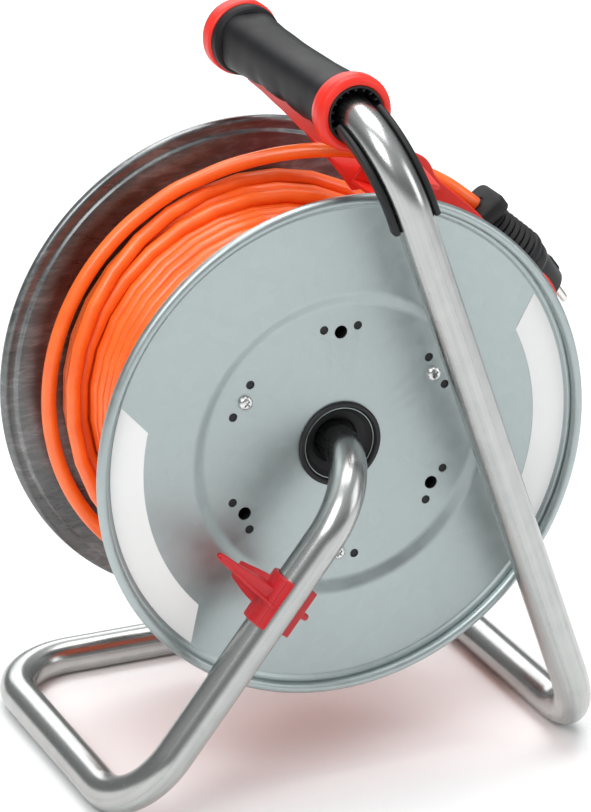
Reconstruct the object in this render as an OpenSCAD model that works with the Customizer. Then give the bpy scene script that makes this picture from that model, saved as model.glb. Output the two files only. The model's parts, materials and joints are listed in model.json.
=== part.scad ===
// Extension cord reel: a sheet-steel drum on a one-sided bent-tube stand, with a grip,
// a cable guide, a parked plug and four covered outlets on the open side of the drum.
// Every module is drawn in the reel's own frame: X to the right, Y from the rear flange
// to the outlets and Z up, from the point where the drum axis meets the rear rim plane.

/* [Drum] */
// Outer radius of the flange rims
rim_r = 145; // [143:0.5:147]
// Distance between the mid-planes of the two rims
rim_gap = 148; // [146:0.5:152]
// Thickness of the flange sheet
sheet_t = 0.8; // [0.6:0.1:1.0]
// Radius of the shallow recess pressed into each flange
recess_r = 84; // [82:0.5:86]
// Outer radius of the plastic core that the cable is wound on
core_r = 74; // [73:0.5:75]
// Outer radius of the wound cable
wound_r = 120; // [116:0.5:121]
// Radius of the circle of holes in the rear flange
hole_circle_r = 64.8; // [64:0.1:65]

/* [Stand] */
// Outer radius of the bent tube
tube_r = 10.5; // [10.2:0.1:10.5]
// Wall thickness of the bent tube
tube_wall = 1.5; // [1.2:0.1:2]
// Height of the drum axis above the middle of the floor bars
axle_h = 186; // [182:0.5:190]
// Height of the grip axis above the drum axis
grip_h = 188; // [187:0.5:190]
// Bend radius of the tube on its centreline
bend_r = 45; // [42:0.5:46]

/* [Outlets] */
// Distance of each outlet from the drum axis
outlet_off = 41; // [40.5:0.5:41.5]
// Inner radius of each outlet well
well_r = 19.5; // [19.2:0.1:19.7]
// Radius of each outlet lid
lid_r = 22.5; // [21.5:0.5:22.5]

/* [Cord] */
// Diameter of the cable
cord_d = 8.6; // [8.2:0.1:8.6]

/* [Hidden] */

$fn = 64;

// Place of the reel frame in the part's frame, whose origin is under the middle of the stand
axle_x = -2;
axle_y = -73.5;
axle_z = axle_h + tube_r;

// Levels along the drum axis
panel_y = 5;
recess_y = 8;
front_panel_y = rim_gap - panel_y;
front_recess_y = rim_gap - recess_y;
core_y0 = recess_y + sheet_t;
core_y1 = front_recess_y - sheet_t;
hub_wall = 3;
hub_bore = 20.05;
bush_r = 19.95;
run_fit = 0.05;
axle_end = 112;
hub_end = axle_end - 0.3;

// Stand route, from the end of the axle to the end of the handle bar
leg_y = -34;
leg_foot_y = -26;
left_x = -138;
right_x = 142;
back_y = 181.5;
grip_x = 5.5;
grip_y0 = -32;
bar_end = 160;
stand_route = [
  [0, axle_end, 0], [0, leg_y, 0], [left_x, leg_foot_y, -axle_h], [left_x, back_y, -axle_h],
  [right_x, back_y, -axle_h], [right_x, leg_foot_y, -axle_h], [grip_x, grip_y0, grip_h],
  [grip_x, bar_end, grip_h]
];
stand_bends = [44, bend_r, bend_r, bend_r, bend_r, 48];

// Holes and fasteners in the drum
screw_angles = [30, 150, 270];
open_angles = [90, 210, 330];
peg_off = 10;
peg_circle = 67.2;
screw_r = 2;
boss_bore = 2.4;

// Outlets
outlet_angles = [45, 135, 225, 315];
plate_y1 = 157;
plate_r = 80;
well_floor_y = 143.2;
plate_screw_off = 68;
plate_screw_angles = [8, 98, 172, 278];
plate_screw_r = 1.95;
insert_r = well_r + 2.4;
lid_y = plate_y1 + 0.4;
lid_t = 2.6;
hinge_off = outlet_off + 26;
hinge_y = 160;
pin_r = 1.5;

// Crank knob
knob_off = 112;
knob_a = 250;
knob_y0 = front_panel_y + 3;
knob_len = 34;
crank_r = 4;

// Grip
grip_r = 16.5;
ring_r = 21.5;
cavity_r = 14.6;
sleeve_r = 16;
near_y = 4;
far_y = 164;

// Cable guide and cradle
channel_y0 = 38;
channel_y1 = 83;
channel_wall = 2.4;
channel_r = 129.6;
plug_at = [105, 60, 107];
plug_tilt = 54;

// Brake lever, measured down the leg from the drum axis
brake_s0 = 73;
brake_len = 30;
leg_route = [stand_route[1], stand_route[2]];

// Lead, from the wound cable to the plug
lead_turn_r = wound_r + cord_d / 2 + 0.8;
lead_turn_y = 123;
lead_turn = [for (a = [255:-14:115]) [lead_turn_r * cos(a), lead_turn_y, lead_turn_r * sin(a)]];
lead_free = [
  [-36, 122, 120], [-20, 119, 126], [-5, 115, 130], [10, 109, 133.5], [26, 99, 136.5],
  [42, 87, 138], [58, 76, 134.5], [74, 68, 128], [89.5, 62, 119.5], plug_at
];
inner_route = [
  [-72.5, 124, -17], [-62, 124, -17], [-50, 125, -14.5], [-36, 126, -10.5], [-24, 127, -10],
  [-13, 127.5, -15], [-5, 128, -21], [0, 129, -29]
];

function unit(v) = v / norm(v);
function turn_angle(a, b) = 180 - acos(a * b);
function setback(a, b, r) = r * tan(turn_angle(a, b) / 2);

// One Catmull-Rom stretch between p1 and p2
function spline_at(p0, p1, p2, p3, t) =
  0.5 * (2 * p1 + (p2 - p0) * t + (2 * p0 - 5 * p1 + 4 * p2 - p3) * t * t
  + (3 * p1 - 3 * p2 + p3 - p0) * t * t * t);
function smooth(route, steps) = concat(
  [for (i = [0:len(route) - 2])
    for (k = [0:steps - 1])
      spline_at(route[max(i - 1, 0)], route[i], route[i + 1], route[min(i + 2, len(route) - 1)],
        k / steps)],
  [route[len(route) - 1]]);

// A local frame at each point of a route: one axis stays square to the drum axis direction
function tangent(route, i) =
  unit(route[min(i + 1, len(route) - 1)] - route[max(i - 1, 0)]);
function side_of(d) = unit(cross(d, abs(d[1]) > 0.9 ? [0, 0, 1] : [0, 1, 0]));
function ring_points(route, i, r, n) =
  let (d = tangent(route, i), s = side_of(d), u = cross(s, d))
  [for (k = [0:n - 1]) route[i] + r * (cos(360 * k / n) * s + sin(360 * k / n) * u)];

module reel() translate([axle_x, axle_y, axle_z]) children();

// Turns a body of revolution drawn about Z so that its Z runs along the drum axis
module on_axle(y = 0) translate([0, y, 0]) rotate([-90, 0, 0]) children();

// A ring about the drum axis, from y0 to y1
module ring(r1, r0, y0, y1) on_axle(y0) difference() {
  cylinder(r = r1, h = y1 - y0);
  if (r0 > 0) translate([0, 0, -1]) cylinder(r = r0, h = y1 - y0 + 2);
}

// A profile of [radius, y] points turned about the drum axis
module turned(profile) on_axle() rotate_extrude() polygon(profile);

// Children moved out to a radius at an angle about the drum axis
module polar(r, a) translate([r * cos(a), 0, r * sin(a)]) children();

// Local Z along a direction, from a point
module along(p, d) translate(p) rotate([0, acos(d[2]), atan2(d[1], d[0])]) children();

// One arc of a bent run: v is the corner, a and b point away from it along the two legs
module bend(v, a, b, r) {
  th = turn_angle(a, b);
  c = v + unit(a + b) * r / cos(th / 2);
  u = unit(v + a * setback(a, b, r) - c);
  w = -a;
  n = cross(u, w);
  multmatrix([
    [u[0], w[0], n[0], c[0]], [u[1], w[1], n[1], c[1]], [u[2], w[2], n[2], c[2]], [0, 0, 0, 1]
  ]) rotate_extrude(angle = th) translate([r, 0]) children();
}

// A round tube bent along a route, with one bend radius for each inner corner. The straight
// lengths are a hair thicker than the bends and run a little way into them, so the two join.
seam = 0.03;
seam_run = 1;
module tube_section(r1, r0) difference() {
  circle(r = r1);
  circle(r = r0);
}
module bent_tube(route, bends, r1, r0) {
  last = len(route) - 1;
  for (i = [0:last - 1]) {
    d = unit(route[i + 1] - route[i]);
    s = i == 0 ? 0 : setback(unit(route[i - 1] - route[i]), d, bends[i - 1]) - seam_run;
    e = i == last - 1 ? 0 : setback(-d, unit(route[i + 2] - route[i + 1]), bends[i]) - seam_run;
    along(route[i] + d * s, d) linear_extrude(norm(route[i + 1] - route[i]) - s - e)
      tube_section(r1, r0);
  }
  for (i = [1:last - 1])
    bend(route[i], unit(route[i - 1] - route[i]), unit(route[i + 1] - route[i]), bends[i - 1])
      tube_section(r1 - seam, r0 + seam);
}

// A flexible tube swept along a smooth route
module swept_tube(route, r, n = 8) {
  rings = [for (i = [0:len(route) - 1]) each ring_points(route, i, r, n)];
  last = len(route) - 1;
  sides = [for (i = [0:last - 1]) for (k = [0:n - 1])
    [i * n + k, i * n + (k + 1) % n, (i + 1) * n + (k + 1) % n, (i + 1) * n + k]];
  ends = [[for (k = [n - 1:-1:0]) k], [for (k = [0:n - 1]) last * n + k]];
  polyhedron(points = rings, faces = concat(sides, ends), convexity = 6);
}

// A thin plate through four corners
module plate4(a, b, c, d, t) hull() for (p = [a, b, c, d]) translate(p) sphere(d = t, $fn = 12);

// Stand -------------------------------------------------------------------------------

// One length of zinc-plated tube: axle, leg, floor loop, upright and handle bar
module frame_tube() reel() color("silver")
  bent_tube(stand_route, stand_bends, tube_r, tube_r - tube_wall);

// Drum --------------------------------------------------------------------------------

// Half profile of a flange sheet: recess, step, panel, small step and rolled rim bead
bead_r = 3;
bead_y = 1;
lip_y = bead_y + bead_r + 0.1;
function flange_profile(hole) = [
  [hole, recess_y], [recess_r - 2, recess_y], [recess_r + 2, panel_y], [rim_r - 9, panel_y],
  [rim_r - 7.5, lip_y - sheet_t], [rim_r - bead_r, lip_y - sheet_t], [rim_r - bead_r, lip_y],
  [rim_r - 7.1, lip_y], [rim_r - 8.6, panel_y + sheet_t],
  [recess_r + 2.4, panel_y + sheet_t], [recess_r - 1.6, recess_y + sheet_t],
  [hole, recess_y + sheet_t]
];

module flange_sheet(hole) on_axle() rotate_extrude($fn = 96) {
  polygon(flange_profile(hole));
  difference() {
    translate([rim_r - bead_r, bead_y]) circle(r = bead_r, $fn = 32);
    translate([rim_r - bead_r, bead_y]) circle(r = bead_r - sheet_t, $fn = 32);
  }
}

// Rear flange, with six groups of one large hole between two small ones
module rear_flange() reel() color("lightsteelblue") difference() {
  flange_sheet(hub_bore);
  for (a = open_angles) polar(hole_circle_r, a) on_axle(6) cylinder(r = 3.75, h = 4);
  for (a = screw_angles) polar(hole_circle_r, a) on_axle(6) cylinder(r = boss_bore, h = 4);
  for (a = concat(open_angles, screw_angles), s = [-1, 1])
    rotate([0, -a, 0]) translate([peg_circle, 6, s * peg_off]) rotate([-90, 0, 0])
      cylinder(r = 2.5, h = 4);
}

// Front flange, open in the middle for the outlets
module front_flange() reel() color("lightsteelblue") difference() {
  translate([0, rim_gap, 0]) mirror([0, 1, 0]) flange_sheet(58);
  for (a = screw_angles)
    polar(hole_circle_r, a) on_axle(core_y1 - 1) cylinder(r = boss_bore, h = 4);
  for (a = plate_screw_angles)
    polar(plate_screw_off, a) on_axle(core_y1 - 1) cylinder(r = 2.3, h = 4);
  polar(knob_off, knob_a) on_axle(front_panel_y - 2) cylinder(r = crank_r + run_fit, h = 4);
}

// Plastic core: outer wall, rear disc, hub tube, ribs and screw bosses
module drum_core() reel() color([0.13, 0.13, 0.14]) difference() {
  union() {
    ring(core_r, core_r - hub_wall, core_y0, core_y1);
    ring(core_r - 1, hub_bore, core_y0, core_y0 + 2.4);
    ring(hub_bore + hub_wall, hub_bore, core_y0, hub_end);
    for (a = [0:60:300])
      rotate([0, -a, 0]) translate([hub_bore + 1, core_y0, -1]) cube([core_r - hub_bore - 2, 60, 2]);
    for (a = concat(open_angles, screw_angles))
      polar(hole_circle_r, a) ring(6, 0, core_y0, core_y1);
    for (a = plate_screw_angles)
      polar(plate_screw_off, a) ring(4, 0, core_y1 - 20, core_y1);
  }
  for (a = screw_angles)
    polar(hole_circle_r, a) on_axle(0) cylinder(r = boss_bore, h = rim_gap);
  for (a = open_angles)
    polar(hole_circle_r, a) on_axle(0) cylinder(r = 4.2, h = core_y0 + 20);
  for (a = plate_screw_angles)
    polar(plate_screw_off, a) on_axle(core_y1 - 12) cylinder(r = plate_screw_r - 0.05, h = 20);
  translate([-core_r - 4, 124, -17]) rotate([0, 90, 0]) cylinder(r = 6.4, h = 12);
}

// Black bush in the rear flange, dished towards the axle
module rear_hub_bush() reel() color([0.1, 0.1, 0.11]) turned([
  [tube_r + run_fit, 17], [tube_r + run_fit, 34], [bush_r, 34], [bush_r, recess_y],
  [24.2, recess_y], [24.2, recess_y - 1.2], [23.4, recess_y - 2], [22.2, recess_y - 2],
  [21.4, recess_y - 1.2], [12.2, 15.4]
]);

// Second bush, near the end of the axle
module inner_hub_bush() reel() color([0.85, 0.84, 0.8]) turned([
  [tube_r + run_fit, 92], [tube_r + run_fit, 110], [bush_r, 110], [bush_r, 92]
]);

// Plastic insert in the end of the tube, which the axle screw bites into
module axle_plug() reel() color("dimgray") ring(tube_r - tube_wall - 0.05, 3.4, 94, axle_end);

module axle_washer() reel() color("silver") ring(17, 4.2, axle_end, axle_end + 2);

module axle_screw() reel() color("silver") union() {
  on_axle(96) cylinder(r = 3.4, h = axle_end + 2 - 96);
  on_axle(axle_end + 2) cylinder(r = 6.5, h = 5, $fn = 6);
}

// Three long screws that clamp the flanges to the core
module clamp_screws() reel() color("silver") for (a = screw_angles) polar(hole_circle_r, a) {
  on_axle(recess_y - 0.2) cylinder(r = screw_r, h = front_recess_y - recess_y + 5);
  intersection() {
    translate([0, recess_y + 1.9, 0]) sphere(r = 4.7);
    ring(4.1, 0, recess_y - 2.8, recess_y);
  }
}

module clamp_nuts() reel() color("silver") for (a = screw_angles)
  polar(hole_circle_r, a) difference() {
    on_axle(front_recess_y) cylinder(r = 4.3, h = 3.2, $fn = 6);
    on_axle(front_recess_y - 1) cylinder(r = screw_r, h = 6);
  }

// Crank knob on the open flange, turning on its own pin
module crank_knob() reel() polar(knob_off, knob_a) color([0.12, 0.12, 0.13]) turned([
  [crank_r + run_fit, knob_y0], [11, knob_y0], [12.5, knob_y0 + 1.5], [10.4, knob_y0 + 9],
  [11.6, knob_y0 + 20], [12.8, knob_y0 + 28], [12, knob_y0 + 32], [9.5, knob_y0 + knob_len],
  [7.2, knob_y0 + knob_len], [7.2, knob_y0 + knob_len - 3.5],
  [crank_r + run_fit, knob_y0 + knob_len - 3.5]
]);

module crank_pin() reel() polar(knob_off, knob_a) color("silver") union() {
  ring(crank_r, 0, front_panel_y - sheet_t, knob_y0 + knob_len - 3.4);
  ring(7, 0, front_panel_y - sheet_t - 2, front_panel_y - sheet_t);
  ring(9, crank_r - 1, front_panel_y, knob_y0 - 0.3);
  ring(6.6, 0, knob_y0 + knob_len - 3.4, knob_y0 + knob_len - 1.4);
}

// Outlets -------------------------------------------------------------------------------

// Moves children to the frame of one outlet: local X points away from the drum axis
module at_outlet(i) rotate([0, -outlet_angles[i], 0]) translate([outlet_off, 0, 0]) children();

// Round cover on the open side of the drum
module socket_plate() reel() color([0.14, 0.14, 0.15]) difference() {
  union() {
    turned([
      [0, front_recess_y], [plate_r, front_recess_y], [plate_r, front_recess_y + 3],
      [plate_r - 2, front_recess_y + 4.5], [plate_r - 3, plate_y1 - 3], [plate_r - 6, plate_y1],
      [0, plate_y1]
    ]);
    for (i = [0:3], s = [-1, 1])
      at_outlet(i) translate([hinge_off - outlet_off - 3, plate_y1 - 6, s * 9.5 - 1.75])
        cube([6, 10.2, 3.5]);
  }
  for (i = [0:3]) at_outlet(i) on_axle(front_recess_y - 2) cylinder(r = insert_r + 0.05, h = 30);
  for (i = [0:3]) at_outlet(i) {
    translate([hinge_off - outlet_off, hinge_y, -14]) cylinder(r = pin_r, h = 28);
    translate([hinge_off - outlet_off - 4, plate_y1 - 2.2, -7.6]) cube([12, 10, 15.2]);
  }
  for (a = screw_angles) polar(hole_circle_r, a) on_axle(front_recess_y - 1) cylinder(r = 5, h = 8);
  for (a = plate_screw_angles) polar(plate_screw_off, a) {
    on_axle(front_recess_y - 1) cylinder(r = 2.2, h = 30);
    on_axle(plate_y1 - 4) cylinder(r = 4.2, h = 8);
  }
  on_axle(front_recess_y - 1) cylinder(r = 7.2, h = 30);
  on_axle(front_recess_y - 1) cylinder(r = 12.1, h = 4);
}

module plate_screws() reel() color("silver") for (a = plate_screw_angles)
  polar(plate_screw_off, a) {
    on_axle(core_y1 - 8) cylinder(r = plate_screw_r, h = plate_y1 - 4 - core_y1 + 8);
    on_axle(plate_y1 - 4) cylinder(r = 3.8, h = 2.4);
  }

// Cup of one outlet, with its two pin holes and two slots for the earth springs
module socket_insert(i) reel() at_outlet(i) color([0.2, 0.2, 0.22]) difference() {
  on_axle(well_floor_y - 3) cylinder(r = insert_r, h = plate_y1 - well_floor_y + 3);
  on_axle(well_floor_y) cylinder(r = well_r, h = 30);
  for (s = [-1, 1]) translate([0, 0, s * 9.5]) on_axle(well_floor_y - 5) cylinder(r = 2.6, h = 10);
  for (s = [-1, 1]) translate([s * (well_r - 0.4) - 1, well_floor_y - 5, -2.2]) cube([2, 10, 4.4]);
}
module socket_insert_1() socket_insert(0);
module socket_insert_2() socket_insert(1);
module socket_insert_3() socket_insert(2);
module socket_insert_4() socket_insert(3);

// Brass contact tubes behind the wells and sprung earth strips inside them
module socket_contacts() reel() color("gold") for (i = [0:3]) at_outlet(i) {
  for (s = [-1, 1]) translate([0, 0, s * 9.5])
    ring(3.4, 2.5, well_floor_y - 12, well_floor_y - 3);
  for (s = [-1, 1])
    translate([s * (well_r - 0.9) - 0.4, well_floor_y - 2.9, -1.8]) cube([0.8, 12, 3.6]);
}

// Sprung lid of one outlet, hinged on the side away from the drum axis
module socket_lid(i) reel() at_outlet(i) color([0.1, 0.1, 0.11]) difference() {
  union() {
    on_axle(lid_y) cylinder(r = lid_r, h = lid_t);
    on_axle(lid_y + lid_t) cylinder(r1 = lid_r - 3, r2 = lid_r - 5, h = 0.8);
    translate([lid_r - 4, lid_y, -7.2]) cube([hinge_off - outlet_off - lid_r + 4, lid_t, 14.4]);
    translate([hinge_off - outlet_off, hinge_y, -7.2]) cylinder(r = 2.9, h = 14.4);
  }
  translate([hinge_off - outlet_off, hinge_y, -20]) cylinder(r = pin_r + run_fit, h = 40);
  translate([hinge_off - outlet_off - 3.4, lid_y - 3, -3.2]) cube([10, 12, 6.4]);
}
module socket_lid_1() socket_lid(0);
module socket_lid_2() socket_lid(1);
module socket_lid_3() socket_lid(2);
module socket_lid_4() socket_lid(3);

module lid_pins() reel() color("silver") for (i = [0:3]) at_outlet(i)
  translate([hinge_off - outlet_off, hinge_y, -11.6]) cylinder(r = pin_r, h = 23.2);

module lid_springs() reel() color("gray") for (i = [0:3]) at_outlet(i)
  translate([hinge_off - outlet_off, hinge_y, -2.9]) difference() {
    cylinder(r = 2.4, h = 5.8);
    translate([0, 0, -1]) cylinder(r = 1.7, h = 8);
  }

// Thermal cut-out behind the plate, with its reset button in the middle of the plate
module thermal_cutout() reel() color([0.25, 0.25, 0.27]) difference() {
  ring(12, 0, 121, front_recess_y + 3);
  on_axle(130) cylinder(r = 5.6, h = 30);
}

module thermal_button() reel() color("red") union() {
  ring(5.4, 0, 135, plate_y1 + 2.2);
  on_axle(plate_y1 + 2.2) cylinder(r1 = 5.4, r2 = 4.4, h = 0.8);
}

module terminal_block() reel() color("ivory") difference() {
  translate([-9, 127, -56]) cube([18, 13, 28]);
  for (x = [-5.6, 0, 5.6], z = [-51, -33])
    translate([x, 120, z]) rotate([-90, 0, 0]) cylinder(r = 2, h = 14);
}

// Rubber grommet where the inner end of the cable enters the core
module cord_grommet() reel() color([0.08, 0.08, 0.08])
  translate([-70, 124, -17]) rotate([0, 90, 0]) difference() {
    union() {
      cylinder(r = 6.3, h = 5.6);
      translate([0, 0, 3.8]) cylinder(r = 7.8, h = 1.8);
    }
    translate([0, 0, -1]) cylinder(r = cord_d / 2 + 0.1, h = 12);
  }

module inner_lead() reel() color("orange") swept_tube(smooth(inner_route, 1), cord_d / 2 - 0.3);

// Handle --------------------------------------------------------------------------------

module at_grip() translate([grip_x, 0, grip_h]) children();

// Hard inner sleeve on the handle bar, with a wide mouth where the tube bends away
module handle_sleeve() reel() at_grip() color([0.1, 0.1, 0.11]) turned([
  [cavity_r, near_y + 0.5], [sleeve_r, near_y + 0.5], [sleeve_r, near_y + 16],
  [13.4, near_y + 16], [13.4, far_y - 1.2], [tube_r + 0.1, far_y - 1.2], [tube_r + 0.1, 24],
  [cavity_r, 20]
]);

// Black grip, waisted, with a raised collar at its far end
module handle_grip() reel() at_grip() color([0.16, 0.16, 0.17]) turned([
  [13.5, near_y + 16.1], [grip_r + 1.4, near_y + 16.1], [grip_r + 0.4, near_y + 30],
  [grip_r - 0.6, 80], [grip_r + 0.2, 125], [grip_r + 1, 144], [20.2, 147], [20.2, 152.9],
  [13.5, 152.9]
]);

module grip_ring_near() reel() at_grip() color([0.93, 0.2, 0.16]) turned([
  [sleeve_r + 0.1, near_y], [19.4, near_y], [20.9, near_y + 1.4], [ring_r, near_y + 4],
  [ring_r, near_y + 9], [20.6, near_y + 12.4], [18.6, near_y + 16], [sleeve_r + 0.1, near_y + 16]
]);

module grip_ring_far() reel() at_grip() color([0.93, 0.2, 0.16]) turned([
  [13.5, 153], [20.6, 153], [ring_r, 154.4], [ring_r, 161.4], [20.8, 162.9], [13.5, 162.9]
]);

module grip_end_cap() reel() at_grip() color([0.1, 0.1, 0.11]) turned([
  [0, far_y - 0.4], [13, far_y - 0.4], [13.5, 163], [20.2, 163], [20.2, 164.4], [18.4, 166],
  [0, 166.8]
]);

// Channel that hugs the drum side of the tube below the grip
module saddle_section(grow) difference() {
  union() {
    circle(r = 14 + grow);
    translate([0, -14 - grow]) square([3.5, 28 + 2 * grow]);
  }
  circle(r = tube_r + 0.2 - grow);
  translate([3.5, -20]) square([20, 40]);
  translate([0, -tube_r - 0.2 + grow]) square([10, 2 * (tube_r + 0.2 - grow)]);
}

module neck_saddle() reel() color([0.12, 0.12, 0.13]) {
  v = [grip_x, grip_y0, grip_h];
  a = unit(stand_route[5] - v);
  b = [0, 1, 0];
  s = setback(a, b, stand_bends[5]);
  difference() {
    bend(v, a, b, stand_bends[5]) saddle_section(0);
    translate([grip_x - 30, near_y + 0.4, grip_h - 30]) cube([60, 60, 60]);
  }
  // The straight part runs down the upright from the end of the bend
  tail = 6;
  u = unit(v + a * s - (v + unit(a + b) * stand_bends[5] / cos(turn_angle(a, b) / 2)));
  n = cross(u, -a);
  q = v + a * (s + tail);
  multmatrix([
    [u[0], n[0], -a[0], q[0]], [u[1], n[1], -a[1], q[1]], [u[2], n[2], -a[2], q[2]], [0, 0, 0, 1]
  ]) linear_extrude(tail + seam_run) saddle_section(seam);
}

// Red guide under the grip: a web along the grip and a curved apron behind the lead
module cable_guide() reel() color([0.93, 0.2, 0.16]) {
  translate([grip_x + 1.5, 0, 0]) rotate([90, 0, -90]) linear_extrude(3) polygon([
    [-20.5, 174], [-20.5, 154], [-55, 156], [-90, 162], [-108, 165], [-146, 166], [-146, 172],
    [-130, 171], [-80, 172.2], [-34, 171.2]
  ]);
  // Apron corners, from the far end of the grip down to the cradle
  apron = [
    [[6, 146, 167.5], [14, 146, 167]], [[17, 133, 155], [26, 128, 160]],
    [[25, 120, 146.5], [42, 116, 148]], [[29, 111, 138.5], [60, 103, 137]],
    [[36.7, 98, 127], [66, 90, 124]], [[45, 90, 113.5], [66, 84, 117]]
  ];
  for (i = [0:len(apron) - 2])
    plate4(apron[i][0], apron[i][1], apron[i + 1][1], apron[i + 1][0], 2.6);
}

// Points of a wall outline in the drum's plane, given as [angle, radius] pairs
function rim_points(list) = [for (p = list) [p[1] * cos(p[0]), p[1] * sin(p[0])]];

module upright_wall(y, outline) translate([0, y + channel_wall, 0]) rotate([90, 0, 0])
  linear_extrude(channel_wall) polygon(rim_points(outline));

// Red channel around the top right of the drum that holds the plug
module plug_cradle() reel() color([0.9, 0.2, 0.16]) {
  inner = [for (a = [18:6:72]) [a, channel_r]];
  upright_wall(channel_y0, concat(inner, [
    [76, 150], [74, 161], [68, 160], [65, 157], [62, 151], [56, 148], [48, 146], [40, 143],
    [32, 146], [26, 155], [20, 157], [17, 150]
  ]));
  upright_wall(channel_y1 - channel_wall, concat(inner, [
    [70, 142], [62, 144], [54, 142], [44, 140], [32, 142], [22, 148], [18, 146]
  ]));
  translate([0, channel_y0, 0]) rotate([-90, 0, 0]) rotate([0, 0, -72])
    rotate_extrude(angle = 54) translate([channel_r - channel_wall, 0])
      square([channel_wall, channel_y1 - channel_y0]);
  plate4([26, -17, 153], [44, -17, 149], [54, 38.8, 147.5], [36, 38.8, 153], 3);
}

// Brake -----------------------------------------------------------------------------------

// Clip that turns on the leg and presses its nose against the rear flange
module brake_lever() reel() {
  d = unit(leg_route[1] - leg_route[0]);
  along(leg_route[0] + d * brake_s0, d) color([0.78, 0.12, 0.13]) {
    rotate([0, 0, 100]) rotate_extrude(angle = 240) translate([tube_r + 0.08, 0])
      square([2.8, brake_len]);
    translate([11.4, -8.4, 0.6]) cube([6.8, 5.8, brake_len - 1.2]);
    translate([17.6, -5.5, 15]) rotate([0, 90, 0]) cylinder(r = 2, h = 5);
    translate([0, 0, 11.5]) linear_extrude(4.4) polygon([
      [-9.6, 7.6], [-12.2, 1], [-12.2, -2.5], [-52.5, 4.6], [-54, 6.4], [-52.5, 8.4], [-14, 11.4]
    ]);
    translate([0, 0, 9]) linear_extrude(11) polygon([
      [-11.4, -5], [-25, -3.2], [-26, -14], [-21, -28.2], [-16.5, -28.6], [-8, -10]
    ]);
  }
}

// Labels ------------------------------------------------------------------------------------

// Blank curved label with slanted ends, on the panel of the rear flange. Its outer edge
// spans the angles a0 to a1, and its inner edge stops short of each by a slant.
label_r0 = 116.5;
label_r1 = 135.8;
label_slant = 5.5;
function label_arc(r, a0, a1) =
  [for (k = [0:24]) let (a = a0 + (a1 - a0) * k / 24) [r * cos(a), r * sin(a)]];
module label(a0, a1) translate([0, panel_y, 0]) rotate([90, 0, 0]) linear_extrude(0.3)
  polygon(concat(label_arc(label_r1, a0, a1), label_arc(label_r0, a1 - label_slant, a0 + label_slant)));
module label_left() reel() color("white") label(162, 229);
module label_right() reel() color("white") label(-34, 32);

// Cord --------------------------------------------------------------------------------------

// The outermost layers are only part wound, against the front flange
layer_step = 7.45;
module cable_winding() reel() color("orange") turned([
  [core_r + 0.2, 10], [wound_r - 2 * layer_step, 10], [wound_r - 2 * layer_step, 101],
  [wound_r - layer_step, 105], [wound_r - layer_step, 114], [wound_r, 118], [wound_r, 138],
  [core_r + 0.2, 138]
]);

module cable_lead() reel() color("orange")
  swept_tube(smooth(concat(lead_turn, lead_free), 3), cord_d / 2, 8);

// Local Z along the plug, from its cable end to its pins
module at_plug() translate(plug_at) rotate([0, 90 + plug_tilt, 0]) children();

// Ribbed strain relief with a squared collar at the cable end
module plug_sleeve() reel() at_plug() color([0.1, 0.1, 0.11]) union() {
  difference() {
    translate([-13.5, -14, 0.2]) cube([27, 28, 10]);
    translate([0, 0, -1]) cylinder(r = cord_d / 2 + 0.2, h = 12);
  }
  translate([0, 0, 10.2]) cylinder(r1 = 10.5, r2 = 17.4, h = 28.2);
  translate([0, 0, 38.4]) cylinder(r = 18.4, h = 6.8);
}

module plug_body() reel() at_plug() color([0.1, 0.1, 0.11]) difference() {
  union() {
    translate([0, 0, 45.2]) cylinder(r = 17.6, h = 8);
    translate([0, 0, 53.2]) cylinder(r1 = 17.6, r2 = 16.4, h = 17);
  }
  for (s = [-1, 1]) translate([s * 9.5, 0, 60]) cylinder(r = 2.4, h = 12);
  for (s = [-1, 1]) translate([-3, s * 16 - 2.5, 56]) cube([6, 5, 20]);
}

module plug_pins() reel() at_plug() color("silver") for (s = [-1, 1])
  translate([s * 9.5, 0, 60]) union() {
    cylinder(r = 2.4, h = 27);
    translate([0, 0, 27]) cylinder(r1 = 2.4, r2 = 1.4, h = 1.6);
  }

module plug_earth_clips() reel() at_plug() color("silver") for (s = [-1, 1])
  translate([-2.4, s * 14.6 - 0.6, 56]) cube([4.8, 1.2, 14]);

frame_tube();
rear_flange();
front_flange();
drum_core();
rear_hub_bush();
inner_hub_bush();
axle_plug();
axle_washer();
axle_screw();
clamp_screws();
clamp_nuts();
socket_plate();
plate_screws();
socket_insert_1();
socket_insert_2();
socket_insert_3();
socket_insert_4();
socket_contacts();
socket_lid_1();
socket_lid_2();
socket_lid_3();
socket_lid_4();
lid_pins();
lid_springs();
thermal_cutout();
thermal_button();
terminal_block();
cord_grommet();
inner_lead();
crank_knob();
crank_pin();
handle_sleeve();
handle_grip();
grip_ring_near();
grip_ring_far();
grip_end_cap();
neck_saddle();
cable_guide();
plug_cradle();
brake_lever();
label_left();
label_right();
cable_winding();
cable_lead();
plug_sleeve();
plug_body();
plug_pins();
plug_earth_clips();
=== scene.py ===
import json
import math
import random

import bmesh
import bpy
from mathutils import Matrix, Vector

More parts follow.
